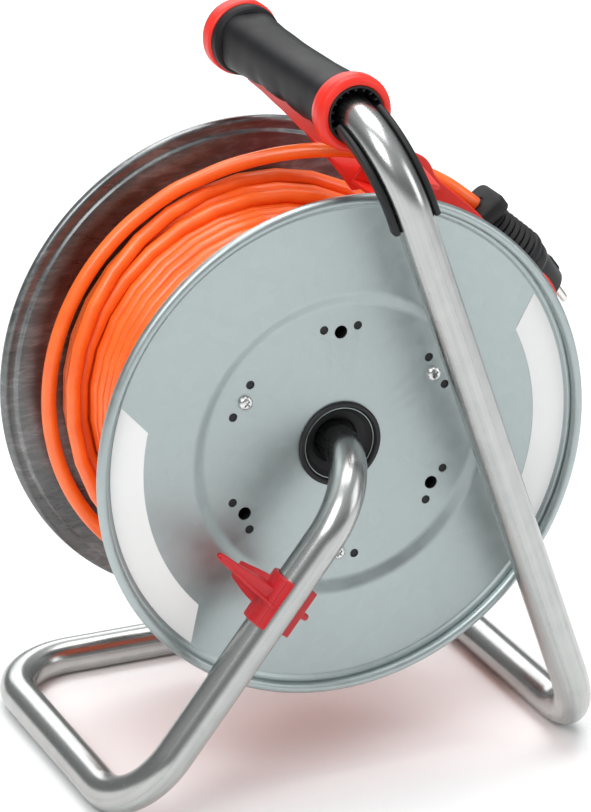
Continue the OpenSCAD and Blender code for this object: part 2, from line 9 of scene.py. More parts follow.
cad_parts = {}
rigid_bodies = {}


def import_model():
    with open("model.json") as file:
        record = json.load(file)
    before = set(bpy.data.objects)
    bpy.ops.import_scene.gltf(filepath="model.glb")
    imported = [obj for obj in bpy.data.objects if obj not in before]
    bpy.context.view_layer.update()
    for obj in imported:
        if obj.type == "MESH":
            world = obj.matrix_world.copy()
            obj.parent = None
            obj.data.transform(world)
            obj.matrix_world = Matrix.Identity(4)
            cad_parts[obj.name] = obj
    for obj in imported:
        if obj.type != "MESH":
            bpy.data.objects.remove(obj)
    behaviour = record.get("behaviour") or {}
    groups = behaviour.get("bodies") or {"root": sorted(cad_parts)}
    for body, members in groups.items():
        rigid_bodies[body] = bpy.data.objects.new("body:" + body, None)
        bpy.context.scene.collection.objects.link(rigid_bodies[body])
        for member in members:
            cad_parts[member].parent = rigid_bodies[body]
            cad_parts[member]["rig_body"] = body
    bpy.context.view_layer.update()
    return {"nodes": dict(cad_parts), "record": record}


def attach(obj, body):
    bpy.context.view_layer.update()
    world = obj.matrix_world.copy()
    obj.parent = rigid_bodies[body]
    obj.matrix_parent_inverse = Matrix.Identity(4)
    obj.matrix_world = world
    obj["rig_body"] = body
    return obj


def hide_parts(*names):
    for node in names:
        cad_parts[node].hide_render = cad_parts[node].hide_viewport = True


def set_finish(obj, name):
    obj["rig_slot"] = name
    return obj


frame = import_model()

# Frame: every piece is drawn in the reel's own frame, in millimetres (X to the right, Y from
# the rear flange to the outlets, Z up, from where the drum axis meets the rear rim plane).
AXLE = Vector((-0.002, -0.0735, 0.1965))
TUBE_R = 10.5
CORD_R = 4.3
RIM_R = 145.0
RIM_GAP = 148.0
TAU = math.tau


def at(p):
    """A reel-frame point in millimetres as a row-frame point in metres."""
    return Vector((p[0] / 1000, p[1] / 1000, p[2] / 1000)) + AXLE


def on_drum(r, a, y):
    """The reel-frame point at radius r and angle a (degrees) about the drum axis."""
    return Vector((r * math.cos(math.radians(a)), y, r * math.sin(math.radians(a))))


def polar(r, a):
    """Two coordinates of the point at radius r and angle a in degrees."""
    return (r * math.cos(math.radians(a)), r * math.sin(math.radians(a)))


def arc(r, a0, a1, n, centre=(0, 0)):
    """Points on an arc, both ends included."""
    pts = [polar(r, a0 + (a1 - a0) * k / n) for k in range(n + 1)]
    return [(centre[0] + x, centre[1] + y) for x, y in pts]


def regular(r, n, centre=(0, 0)):
    """The corners of a regular polygon, the first on the first axis."""
    angles = [TAU * k / n for k in range(n)]
    return [(centre[0] + r * math.cos(a), centre[1] + r * math.sin(a)) for a in angles]


def ease(t):
    """Goes from 0 to 1 with a soft start and end."""
    return t * t * (3 - 2 * t)


# --- camera ---
AZ, EL, ROLL = math.radians(-24.4), math.radians(22.0), math.radians(0.6)
CAM_TARGET = Vector((-0.0321, -0.0735, 0.2260))
CAM_DISTANCE = 2.2769
CAM_LENS = 187.67


def new_object(name, data):
    """An object in the scene for a mesh, curve, light or camera."""
    ob = bpy.data.objects.new(name, data)
    bpy.context.scene.collection.objects.link(ob)
    return ob


def make_camera():
    back = Vector((math.sin(AZ) * math.cos(EL), -math.cos(AZ) * math.cos(EL), math.sin(EL)))
    right = Vector((math.cos(AZ), math.sin(AZ), 0.0))
    up = back.cross(right)
    r2 = right * math.cos(ROLL) + up * math.sin(ROLL)
    u2 = up * math.cos(ROLL) - right * math.sin(ROLL)
    cam = bpy.data.cameras.new("camera")
    cam.lens = CAM_LENS
    cam.sensor_width = 36.0
    cam.clip_end = 50.0
    ob = new_object("camera", cam)
    rot = Matrix((r2, u2, back)).transposed()
    ob.matrix_world = Matrix.Translation(CAM_TARGET + back * CAM_DISTANCE) @ rot.to_4x4()
    bpy.context.scene.camera = ob


make_camera()

# --- node helpers ---


def rgba(c):
    """A grey number or a colour as four numbers."""
    return (c, c, c, 1) if isinstance(c, (int, float)) else (*c, 1)


def fill_ramp(cr, stops):
    """Gives a colour ramp its stops of position and colour."""
    cr.elements[0].position, cr.elements[0].color = stops[0][0], rgba(stops[0][1])
    cr.elements[1].position, cr.elements[1].color = stops[-1][0], rgba(stops[-1][1])
    for pos, col in stops[1:-1]:
        cr.elements.new(pos).color = rgba(col)


class Shader:
    """A material under construction, with short calls for the nodes that it uses."""

    def __init__(self, name):
        self.mat = bpy.data.materials.new(name)
        self.mat.use_nodes = True
        self.tree = self.mat.node_tree

    def put(self, node, sockets):
        """Sets sockets by name, each to a number or a colour, or links it to an output."""
        for key, v in sockets.items():
            sock = node.inputs[key.replace("_", " ") if isinstance(key, str) else key]
            if isinstance(v, bpy.types.NodeSocket):
                self.tree.links.new(v, sock)
            elif v is not None:
                sock.default_value = rgba(v) if sock.type == "RGBA" else v

    def node(self, kind, **sockets):
        n = self.tree.nodes.new("ShaderNode" + kind)
        self.put(n, sockets)
        return n

    def coords(self, kind="Object", scale=(1, 1, 1), location=(0, 0, 0)):
        out = self.node("TexCoord").outputs[kind]
        return self.node("Mapping", Vector=out, Scale=scale, Location=location).outputs["Vector"]

    def noise(self, vec, scale, detail=2.0, rough=0.5, distort=0.0):
        return self.node("TexNoise", Vector=vec, Scale=scale, Detail=detail, Roughness=rough,
                         Distortion=distort).outputs["Fac"]

    def cells(self, vec, scale):
        """One random number for each cell."""
        color = self.node("TexVoronoi", Vector=vec, Scale=scale).outputs["Color"]
        return self.node("SeparateColor", Color=color).outputs[0]

    def ramp(self, fac, stops):
        n = self.node("ValToRGB", Fac=fac)
        fill_ramp(n.color_ramp, stops)
        return n.outputs["Color"]

    def span(self, fac, lo, hi, a=0.0, b=1.0):
        """Values from a to b spread from lo to hi."""
        return self.node("MapRange", Value=fac, From_Min=a, From_Max=b, To_Min=lo,
                         To_Max=hi).outputs["Result"]

    def mix(self, fac, a, b):
        n = self.tree.nodes.new("ShaderNodeMix")
        n.data_type = "RGBA"
        self.put(n, {0: fac, 6: a, 7: b})
        return n.outputs[2]

    def math(self, op, a, b):
        n = self.tree.nodes.new("ShaderNodeMath")
        n.operation = op
        self.put(n, {0: a, 1: b})
        return n.outputs[0]

    def add(self, *terms):
        """The sum of values, each with its weight."""
        parts = [v if weight == 1 else self.math("MULTIPLY", v, weight) for v, weight in terms]
        total = parts[0]
        for part in parts[1:]:
            total = self.math("ADD", total, part)
        return total

    def bump(self, height, strength, distance=0.0003):
        return self.node("Bump", Height=height, Strength=strength, Distance=distance).outputs["Normal"]

    def done(self, color, rough, normal=None, metal=0.0, **sockets):
        self.put(self.tree.nodes["Principled BSDF"],
                 {"Base Color": color, "Roughness": rough, "Normal": normal, "Metallic": metal, **sockets})
        return self.mat


def zinc_tube_material():
    """Drawn and zinc-plated tube: streaks along the tube, fine scratches and cloudy spots."""
    s = Shader("zinc_tube")
    streak = s.noise(s.coords("UV", (150, 6, 1)), 1.0, 3, 0.6)
    wide = s.noise(s.coords("UV", (26, 2.2, 1), (3, 7, 0)), 1.0, 2, 0.5)
    cloud = s.noise(s.coords(), 70, 4, 0.6)
    speck = s.noise(s.coords(), 900, 2, 0.5)
    mixed = s.add((s.add((streak, 0.45), (wide, 0.55)), 0.7), (cloud, 0.3))
    color = s.ramp(mixed, [(0.30, (0.35, 0.365, 0.36)), (0.5, (0.44, 0.45, 0.44)),
                           (0.70, (0.52, 0.525, 0.51))])
    height = s.add((streak, 0.7), (speck, 0.3))
    return s.done(color, s.span(mixed, 0.30, 0.2, 0.35, 0.65), s.bump(height, 0.05), metal=1.0)


def sheet_material(name, tint, lo, hi):
    """Galvanised sheet: soft spangle cells, long rolled grain and a fine frosted surface."""
    s = Shader(name)
    obj = s.coords()
    cell = s.cells(obj, 150)
    fine = s.noise(obj, 1400, 2, 0.6)
    grain = s.noise(s.coords(scale=(900, 60, 60)), 1.0, 2, 0.5)
    cloud = s.noise(obj, 14, 3, 0.5)
    k = s.add((cell, 0.25), (cloud, 0.5), (fine, 0.25))
    color = s.ramp(k, [(0.25, tuple(c * 0.86 for c in tint)), (0.85, tint)])
    height = s.add((fine, 0.6), (grain, 0.4))
    return s.done(color, s.span(k, lo, hi, 0.25, 0.9), s.bump(height, 0.05), metal=1.0)


def plastic_material(name, color, rough=0.4, grain=0.15, scale=1800, mottle=0.08, coat=0.0, spec=0.5):
    """Moulded plastic: slight mottling, fine spark-eroded grain and rubbed, glossier patches."""
    s = Shader(name)
    obj = s.coords()
    soft = s.noise(obj, 28, 3, 0.5)
    fine = s.noise(obj, scale, 2, 0.6)
    dark = tuple(max(c * (1 - mottle), 0) for c in color)
    light = tuple(min(c * (1 + mottle), 1) for c in color)
    r = s.add((s.span(soft, rough - 0.06, rough + 0.06, 0.3, 0.7), 1), (fine, 0.06))
    return s.done(s.ramp(soft, [(0.3, dark), (0.7, light)]), r, s.bump(fine, grain, 0.0002),
                  Specular_IOR_Level=spec, Coat_Weight=coat, Coat_Roughness=0.25)


def metal_material(name, color, rough=0.25, bump=0.05):
    """Plain bright metal with fine marks."""
    s = Shader(name)
    a = s.noise(s.coords(scale=(400, 400, 400)), 1.0, 3, 0.6)
    b = s.noise(s.coords(), 90, 3, 0.5)
    k = s.add((a, 0.5), (b, 0.5))
    return s.done(s.ramp(k, [(0.3, tuple(c * 0.8 for c in color)), (0.7, color)]),
                  s.span(k, rough - 0.06, rough + 0.1, 0.3, 0.7), s.bump(a, bump), metal=1.0)


def jacket_material():
    """Orange cable jacket: extruded satin skin, faint lengthwise drag lines and dusty scuffs."""
    s = Shader("orange_jacket")
    obj = s.coords()
    drag = s.noise(s.coords("UV", (40, 3, 1)), 1.0, 2, 0.5)
    scuff = s.noise(obj, 45, 4, 0.6)
    fine = s.noise(obj, 1500, 2, 0.5)
    col = s.ramp(scuff, [(0.3, (0.90, 0.120, 0.008)), (0.6, (0.98, 0.155, 0.012)), (0.8, (1.0, 0.19, 0.03))])
    r = s.add((s.span(scuff, 0.3, 0.42, 0.3, 0.75), 1), (drag, 0.08))
    height = s.add((fine, 0.5), (drag, 0.5))
    return s.done(col, r, s.bump(height, 0.08), Specular_IOR_Level=0.55, Coat_Weight=0.4, Coat_Roughness=0.2)


M = {
    "zinc_tube": zinc_tube_material(),
    "galvanised_sheet": sheet_material("galvanised_sheet", (0.43, 0.485, 0.485), 0.38, 0.50),
    "plated_steel": metal_material("plated_steel", (0.72, 0.72, 0.71), 0.26),
    "black_plastic": plastic_material("black_plastic", (0.012, 0.012, 0.013), 0.46, spec=0.35),
    "grip_plastic": plastic_material("grip_plastic", (0.008, 0.008, 0.009), 0.48, 0.3, 1500, spec=0.24),
    "bush_plastic": plastic_material("bush_plastic", (0.72, 0.70, 0.63), 0.45),
    "red_plastic": plastic_material("red_plastic", (0.78, 0.022, 0.010), 0.38, 0.1, coat=0.08, spec=0.4),
    "brake_plastic": plastic_material("brake_plastic", (0.46, 0.008, 0.013), 0.36, 0.1, coat=0.1, spec=0.4),
    "contact_brass": metal_material("contact_brass", (0.80, 0.58, 0.26), 0.25),
    "terminal_plastic": plastic_material("terminal_plastic", (0.70, 0.66, 0.55), 0.5),
    "black_rubber": plastic_material("black_rubber", (0.011, 0.011, 0.012), 0.58, 0.25, 1100, spec=0.3),
    "orange_jacket": jacket_material(),
    "pin_metal": metal_material("pin_metal", (0.80, 0.79, 0.76), 0.18, 0.02),
    "label_film": plastic_material("label_film", (0.80, 0.80, 0.79), 0.5, 0.05, 900, 0.02),
}


def worn_and_shaded_sheet_material():
    """Front flange: dragged by the cable on its inner face, which is also darkened as painted shade (colour
    picked by the face's direction) and glossy; clean and lighter outside.
    """
    s = Shader("galvanised_worn_and_shaded")
    obj = s.coords()
    drag = s.noise(s.coords(scale=(70, 300, 260)), 1.0, 4, 0.65, 0.6)
    cloud = s.noise(obj, 16, 4, 0.6)
    fine = s.noise(obj, 1400, 2, 0.6)
    k = s.add((drag, 0.4), (cloud, 0.6))
    # Inner-face colours: painted shade for the face's place inside the drum between the flanges, with the
    # drag streaks as wear on top.
    inner = s.ramp(k, [(0.36, (0.12, 0.124, 0.124)), (0.52, (0.19, 0.194, 0.194)),
                       (0.66, (0.36, 0.364, 0.36))])
    outer = s.ramp(cloud, [(0.3, (0.37, 0.415, 0.415)), (0.7, (0.43, 0.485, 0.485))])
    side = s.node("SeparateXYZ", Vector=s.node("TexCoord").outputs["Normal"]).outputs["Y"]
    # Faces pointing towards the rear flange get the painted-shade colour, the others the lighter outer
    # colour.
    color = s.mix(s.span(side, 0.0, 1.0, -0.2, 0.2), inner, outer)
    rough = s.add((s.span(k, 0.24, 0.40, 0.35, 0.65), 1), (s.span(side, 0.0, 0.10, -0.2, 0.2), 1))
    height = s.add((drag, 0.5), (fine, 0.5))
    return s.done(color, rough, s.bump(height, 0.06), metal=1.0)


WORN_AND_SHADED_SHEET = worn_and_shaded_sheet_material()
SLOT_OF = {p["node"]: p["material_slot"] for p in frame["record"]["subparts"]}


def dress_nodes():
    """Every carried-over CAD node gets its slot's material."""
    for name, ob in frame["nodes"].items():
        ob.data.materials.clear()
        ob.data.materials.append(M[SLOT_OF[name]])


dress_nodes()

# --- mesh helpers ---


def tag(ob, slot, body, replaces=()):
    """Says what a piece rides on, its material slot and the nodes it replaces."""
    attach(ob, body)
    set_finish(ob, slot)
    if replaces:
        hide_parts(*replaces)
    return ob


def plain_mesh(name, verts, faces):
    me = bpy.data.meshes.new(name)
    me.from_pydata([at(v) for v in verts], [], faces)
    return me


def face_outwards(me):
    """Merges double points and turns the faces outwards."""
    bm = bmesh.new()
    bm.from_mesh(me)
    bmesh.ops.remove_doubles(bm, verts=bm.verts, dist=1e-6)
    bmesh.ops.recalc_face_normals(bm, faces=bm.faces)
    bm.to_mesh(me)
    bm.free()


def sharpen(ob, degrees):
    ob.data.set_sharp_from_angle(angle=math.radians(degrees))


def finish_mesh(name, verts, faces, slot, body, uvs=None, replaces=(), sharp=40):
    """A mesh from reel-frame points, in its material, riding on its body."""
    me = plain_mesh(name, verts, faces)
    if uvs is not None:
        layer = me.uv_layers.new(name="UVMap")
        for i, poly in enumerate(me.polygons):
            for k, li in enumerate(poly.loop_indices):
                layer.data[li].uv = uvs[i][k]
    face_outwards(me)
    me.validate()
    ob = new_object(name, me)
    me.materials.append(M[slot])
    me.shade_smooth()
    sharpen(ob, sharp)
    return tag(ob, slot, body, replaces)


def quads(count, n):
    """Faces between successive closed sections of n points."""
    return [(i * n + k, i * n + (k + 1) % n, (i + 1) * n + (k + 1) % n, (i + 1) * n + k)
            for i in range(count - 1) for k in range(n)]


def end_caps(count, n):
    """The first and the last section as faces."""
    return [tuple(range(n - 1, -1, -1)), tuple(range((count - 1) * n, count * n))]


def frames_along(path):
    """Parallel-transported side and up vectors along a path, and the running length."""
    n = len(path)
    tangents = []
    for i in range(n):
        a = path[i - 1] if i > 0 else path[0]
        b = path[i + 1] if i < n - 1 else path[-1]
        tangents.append((b - a).normalized())
    side = tangents[0].orthogonal().normalized()
    out, run = [], 0.0
    for i in range(n):
        t = tangents[i]
        if i:
            side = (side - t * side.dot(t)).normalized()
            run += (path[i] - path[i - 1]).length
        out.append((side.copy(), t.cross(side).normalized(), run))
    return out


def sweep(name, path, radius, slot, body, sides=24, replaces=()):
    """A round tube along a path, with UVs: U round the section and V along it."""
    fr = frames_along(path)
    verts, uvs = [], []
    for p, (s, u, _) in zip(path, fr):
        verts += [p + (s * x + u * y) * radius for x, y in regular(1, sides)]
    for (_, _, run0), (_, _, run1) in zip(fr, fr[1:]):
        v0, v1 = run0 / 1000, run1 / 1000
        for k in range(sides):
            u0, u1 = k / sides, (k + 1) / sides
            uvs.append(((u0, v0), (u1, v0), (u1, v1), (u0, v1)))
    uvs += [[(0, 0)] * sides] * 2
    faces = quads(len(path), sides) + end_caps(len(path), sides)
    return finish_mesh(name, verts, faces, slot, body, uvs, replaces, 50)


# --- cable ---
CORE_R, WOUND_R = 74.0, 120.0
WIND_Y0, WIND_Y1 = 10.0, 138.0
TURN_POINTS = 32
LAYER_STEP = 7.45
PITCH = 8.75
WIND_START = 196
WANDER = (0.15, 0.2, 0.3, 0.6, 1.1, 0.5)
# Span along the drum axis of each layer, from the core outwards
LAYER_SPANS = [(14.4, 133.6), (14.4, 133.6), (14.4, 133.6), (14.4, 133.6), (108.5, 133.6), (122.5, 133.4)]


def winding_path():
    """The wound cable: full layers of close turns, then a pile against the front flange."""
    rnd = random.Random(11)
    pts = []
    angle = math.radians(WIND_START)
    y_now = LAYER_SPANS[0][1]
    for layer, (y_lo, y_hi) in enumerate(LAYER_SPANS):
        r = CORE_R + 0.3 + CORD_R + LAYER_STEP * layer
        r = min(r, WOUND_R - CORD_R - 0.05)
        turns = max(1.0, (y_hi - y_lo) / PITCH)
        n = int(round(turns * TURN_POINTS))
        target = y_lo if abs(y_now - y_hi) < abs(y_now - y_lo) else y_hi
        start = y_now
        wob = [rnd.uniform(-1, 1) for _ in range(200)]
        amp = WANDER[layer]
        for i in range(n + 1):
            f = i / n
            turn = f * turns
            whole, part = int(turn), turn - int(turn)
            step = whole + ease(max(0.0, part - 0.55) / 0.45)
            y = start + (target - start) * min(1.0, step / turns)
            q = turn * 6
            j = int(q)
            g = ease(q - j)
            drift = wob[j % 200] * (1 - g) + wob[(j + 1) % 200] * g
            rr = min(r + drift * amp, WOUND_R - CORD_R - 0.05)
            yy = min(max(y + drift * amp * 0.4, WIND_Y0 + CORD_R), WIND_Y1 - CORD_R)
            if pts and i == 0:
                continue
            angle -= TAU / TURN_POINTS
            pts.append(Vector((rr * math.cos(angle), yy, rr * math.sin(angle))))
        y_now = target
    return pts


def cord_curve(name, pts, radius, body, replaces, resolution=3):
    """A cord as a poly curve with a round section."""
    cu = bpy.data.curves.new(name, "CURVE")
    cu.dimensions = "3D"
    sp = cu.splines.new("POLY")
    sp.points.add(len(pts) - 1)
    for q, p in zip(sp.points, pts):
        q.co = (*at(p), 1)
    cu.bevel_depth = radius / 1000
    cu.bevel_resolution = resolution
    cu.use_fill_caps = True
    cu.materials.append(M["orange_jacket"])
    return tag(new_object(name, cu), "orange_jacket", body, replaces)


def smooth_path(route, steps):
    out = []
    for i in range(len(route) - 1):
        p0, p1, p2, p3 = (Vector(route[max(i - 1, 0)]), Vector(route[i]), Vector(route[i + 1]),
                          Vector(route[min(i + 2, len(route) - 1)]))
        for k in range(steps):
            t = k / steps
            out.append(0.5 * (2 * p1 + (p2 - p0) * t + (2 * p0 - 5 * p1 + 4 * p2 - p3) * t * t
                              + (3 * p1 - 3 * p2 + p3 - p0) * t * t * t))
    out.append(Vector(route[-1]))
    return out


PLUG_AT = Vector((105, 60, 107))
PLUG_TILT = math.radians(144)
LEAD_R = WOUND_R + CORD_R + 0.8
LEAD_FREE = [(-36, 122, 120), (-20, 119, 126), (-5, 115, 130), (10, 109, 133.5), (26, 99, 136.5),
             (42, 87, 138), (58, 76, 134.5), (74, 68, 128), (89.5, 62, 119.5), tuple(PLUG_AT)]
LEAD_TURN = [tuple(on_drum(LEAD_R, a, 123)) for a in range(255, 114, -14)]

wound = winding_path()
winding = cord_curve("cable_wound", wound, CORD_R, "drum", ["cable_winding"])
lead_pts = smooth_path(LEAD_TURN + LEAD_FREE, 6)
lead = cord_curve("cable_free_end", lead_pts, CORD_R, "stand", ["cable_lead"], 5)

# --- shape helpers ---


def rounded(points, radius, steps=4):
    """A closed 2D outline with its corners rounded; radius is one number or one per corner."""
    n, out = len(points), []
    for i in range(n):
        r = radius[i] if isinstance(radius, (list, tuple)) else radius
        p, a, b = Vector(points[i]), Vector(points[i - 1]), Vector(points[(i + 1) % n])
        u, v = a - p, b - p
        if r <= 0 or u.length < 1e-6 or v.length < 1e-6:
            out.append(p)
            continue
        lim = 0.46 * min(u.length, v.length)
        u.normalize()
        v.normalize()
        half = math.acos(max(-1, min(1, u.dot(v)))) / 2
        if half > 1.5 or half < 0.03:
            out.append(p)
            continue
        t = min(r / math.tan(half), lim)
        rr = t * math.tan(half)
        c = p + (u + v).normalized() * (rr / math.sin(half))
        s, e = p + u * t - c, p + v * t - c
        for k in range(steps + 1):
            q = s.lerp(e, k / steps)
            out.append(c + q.normalized() * rr)
    return out


def lathe(name, profile, slot, body, centre=(0, 0), segs=96, fillet=0.0, steps=3, replaces=(), sharp=40):
    """A closed profile of (radius, y) turned about an axis along Y through centre (x, z)."""
    pts = rounded(profile, fillet, steps) if fillet else profile
    verts = [Vector((centre[0] + r * c, y, centre[1] + r * s)) for c, s in regular(1, segs) for r, y in pts]
    faces = [tuple(v % len(verts) for v in q) for q in quads(segs + 1, len(pts))]
    return finish_mesh(name, verts, faces, slot, body, replaces=replaces, sharp=sharp)


def prism(name, outline, a, b, slot, body, frame_m=None, bevel=0.5, axis="Y", replaces=(), segments=2):
    """An outline (two coordinates) extruded from a to b along an axis, with rounded edges."""
    put = {"Y": lambda u, v, w: Vector((u, w, v)), "Z": lambda u, v, w: Vector((u, v, w)),
           "X": lambda u, v, w: Vector((w, u, v))}[axis]
    n = len(outline)
    verts = [put(p[0], p[1], w) for w in (a, b) for p in outline]
    if frame_m is not None:
        verts = [frame_m @ v for v in verts]
    faces = [tuple(range(n)), tuple(range(2 * n - 1, n - 1, -1))]
    faces += [(i, (i + 1) % n, n + (i + 1) % n, n + i) for i in range(n)]
    ob = finish_mesh(name, verts, faces, slot, body, replaces=replaces, sharp=35)
    return soften(ob, bevel, segments) if bevel else ob


def soften(ob, width, segments):
    """Rounds the sharp edges of a piece."""
    m = ob.modifiers.new("edges", "BEVEL")
    m.width = width / 1000
    m.segments = segments
    m.limit_method = "ANGLE"
    m.angle_limit = math.radians(35)
    m.harden_normals = False
    ob.data.shade_smooth()
    return ob


def loft(name, rows, slot, body, replaces=(), sharp=40):
    """Skin over rows of points, each row one closed section, with both ends capped."""
    n = len(rows[0])
    faces = quads(len(rows), n) + end_caps(len(rows), n)
    return finish_mesh(name, [p for row in rows for p in row], faces, slot, body, replaces=replaces,
                       sharp=sharp)


def turned(f, profile, name, slot, body, segs=72, centre=(0, 0), sharp=50):
    """A profile of (radius, height) turned about the Z axis of a frame."""
    rows = [[f @ Vector((x, y, h)) for x, y in regular(r, segs, centre)] for r, h in profile]
    return loft(name, rows, slot, body, sharp=sharp)


def evaluated_mesh(ob):
    bpy.context.view_layer.update()
    return bpy.data.meshes.new_from_object(ob.evaluated_get(bpy.context.evaluated_depsgraph_get()))


def joined(name, parts, replaces=()):
    """Several pieces of one body as one piece."""
    bm = bmesh.new()
    for o in parts:
        me = evaluated_mesh(o)
        bm.from_mesh(me)
        bpy.data.meshes.remove(me)
    me = bpy.data.meshes.new(name)
    bm.to_mesh(me)
    bm.free()
    ob = new_object(name, me)
    me.materials.append(parts[0].data.materials[0])
    tag(ob, parts[0]["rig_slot"], parts[0]["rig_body"], replaces)
    for o in parts:
        bpy.data.objects.remove(o)
    return ob


def cut(ob, cutters, sharp=None):
    """Takes the cutters away from a piece, and keeps the result as its mesh."""
    for c in cutters:
        m = ob.modifiers.new("cut", "BOOLEAN")
        m.object = c
        m.operation = "DIFFERENCE"
        m.solver = "EXACT"
    me = evaluated_mesh(ob)
    ob.modifiers.clear()
    old = ob.data
    ob.data = me
    bpy.data.meshes.remove(old)
    for c in cutters:
        bpy.data.objects.remove(c)
    if sharp:
        sharpen(ob, sharp)
    return ob


def tool_cylinder(p, q, r, segs=32):
    """A closed cylinder from p to q, used only as a cutter."""
    d = (q - p).normalized()
    s = d.orthogonal().normalized()
    u = d.cross(s)
    verts = [c + (s * x + u * y) * r for c in (p, q) for x, y in regular(1, segs)]
    return new_object("tool", plain_mesh("tool", verts, end_caps(2, segs) + quads(2, segs)))


def block_tool(corners):
    """A block from its four lower and four upper corners, used only as a cutter."""
    me = plain_mesh("tool", corners, end_caps(2, 4) + quads(2, 4))
    face_outwards(me)
    return new_object("tool", me)


# --- stand ---
ROUTE = [(0, 112, 0), (0, -34, 0), (-138, -26, -186), (-138, 181.5, -186), (142, 181.5, -186),
         (142, -26, -186), (5.5, -32, 188), (5.5, 160, 188)]
BENDS = [44, 45, 45, 45, 45, 48]


def corner(i):
    """The bend at one corner of the route: its start, centre, radius, angle, and the
    directions from the centre to the start, along the bend there and back up the tube."""
    p = Vector(ROUTE[i])
    a, b = (Vector(ROUTE[i - 1]) - p).normalized(), (Vector(ROUTE[i + 1]) - p).normalized()
    turn = math.pi - math.acos(a.dot(b))
    r = BENDS[i - 1]
    c = p + (a + b).normalized() * (r / math.cos(turn / 2))
    start = p + a * (r * math.tan(turn / 2))
    return start, c, r, turn, (start - c).normalized(), -a, a


def bent_path(step=4.0, run=16.0):
    """The route with an arc at each inner corner, as points with even spacing."""
    out = [Vector(ROUTE[0])]
    for i in range(1, len(ROUTE) - 1):
        s, c, r, turn, u, w, _ = corner(i)
        m = max(2, int((s - out[-1]).length / run))
        out += [out[-1].lerp(s, k / m) for k in range(1, m)]
        n = max(6, int(math.degrees(turn) / step))
        out += [c + (u * math.cos(turn * k / n) + w * math.sin(turn * k / n)) * r for k in range(n + 1)]
    end = Vector(ROUTE[-1])
    m = max(2, int((end - out[-1]).length / run))
    return out + [out[-1].lerp(end, k / m) for k in range(1, m + 1)]


sweep("stand_tube", bent_path(), TUBE_R - 0.01, "zinc_tube", "stand", sides=40, replaces=["frame_tube"])

# --- flanges ---
PANEL_Y, RECESS_Y, RECESS_R, SHEET_T, BEAD_R, BEAD_Y = 5.0, 8.0, 84.0, 0.8, 3.0, 1.0
LIP_Y = BEAD_Y + BEAD_R + 0.1
OPEN_ANGLES, SCREW_ANGLES = (90, 210, 330), (30, 150, 270)
HOLE_R, PEG_R, PEG_OFF = 64.8, 67.2, 10.0
PLATE_SCREW_R, PLATE_SCREWS = 68.0, (8, 98, 172, 278)
KNOB_R, KNOB_ANGLE = 112.0, 250


def flange_outline(hole):
    """Closed half section of one flange: flat middle, step, panel, lip and rolled bead."""
    bead, under = RIM_R - BEAD_R, LIP_Y - SHEET_T
    step = ((-5.0, RECESS_Y), (-3.6, RECESS_Y - 0.15), (-1.6, RECESS_Y - 0.7),
            (1.6, PANEL_Y + 0.7), (3.6, PANEL_Y + 0.15), (5.0, PANEL_Y))
    lip = ((-9.6, PANEL_Y), (-8.6, PANEL_Y - 0.35), (-7.9, under + 0.2), (-6.8, under - 0.1),
           (-BEAD_R - 1.6, under - 0.1))
    lip_back = ((-BEAD_R - 0.6, LIP_Y), (-6.6, LIP_Y), (-7.6, LIP_Y + 0.3), (-8.3, PANEL_Y + 0.5),
                (-9.2, PANEL_Y + SHEET_T))
    step_back = ((2.8, PANEL_Y), (1.4, PANEL_Y + 0.5), (-1.0, RECESS_Y - 0.5), (-2.4, RECESS_Y))
    return ([(hole, RECESS_Y)] + [(RECESS_R + r, y) for r, y in step] + [(RIM_R + r, y) for r, y in lip]
            + arc(BEAD_R, 152, 442, 22, (bead, BEAD_Y)) + [(RIM_R + r, y) for r, y in lip_back]
            + [(RECESS_R + r, y + SHEET_T) for r, y in step_back] + [(hole, RECESS_Y + SHEET_T)])


def hole_tools(holes, y0, y1, segs=32):
    """Cutters along Y, one for each (radius of the place, angle, radius of the hole)."""
    return [tool_cylinder(on_drum(r, a, y0), on_drum(r, a, y1), rad, segs) for r, a, rad in holes]


rear = lathe("rear_flange_sheet", flange_outline(20.2), "galvanised_sheet", "drum", segs=160,
             replaces=["rear_flange"], sharp=60)
peg_turn, peg_r = math.degrees(math.atan2(PEG_OFF, PEG_R)), math.hypot(PEG_OFF, PEG_R)
rear_holes = [(HOLE_R, a, 3.75) for a in OPEN_ANGLES] + [(HOLE_R, a, 2.3) for a in SCREW_ANGLES]
rear_holes += [(peg_r, a + s * peg_turn, 2.5) for a in OPEN_ANGLES + SCREW_ANGLES for s in (-1, 1)]
cut(rear, hole_tools(rear_holes, 5, 12))

front = lathe("front_flange_sheet", [(r, RIM_GAP - y) for r, y in flange_outline(58.0)], "galvanised_sheet",
              "drum", segs=160, replaces=["front_flange"], sharp=60)
front_holes = [(HOLE_R, a, 2.4) for a in SCREW_ANGLES] + [(PLATE_SCREW_R, a, 2.3) for a in PLATE_SCREWS]
cut(front, hole_tools(front_holes, 136, 143) + hole_tools([(KNOB_R, KNOB_ANGLE, 4.1)], 139, 147))
# This sheet carries painted shade on the flange's inner face.
front.data.materials[0] = WORN_AND_SHADED_SHEET
for ob in (rear, front):
    ob.data.shade_smooth()
    ob.data.set_sharp_from_angle(angle=math.radians(50))


# --- hub bush, screws ---
lathe("hub_bush_rear", [(10.56, 17), (10.56, 34), (19.95, 34), (19.95, 8.0), (24.2, 8.0), (24.2, 6.5),
                        (23.5, 5.9), (21.9, 5.9), (21.3, 6.6), (20.6, 9.0), (17.5, 11.6), (13.2, 13.6),
                        (12.4, 15.6)], "black_plastic", "drum", segs=96, fillet=0.6,
      replaces=["rear_hub_bush"], sharp=60)


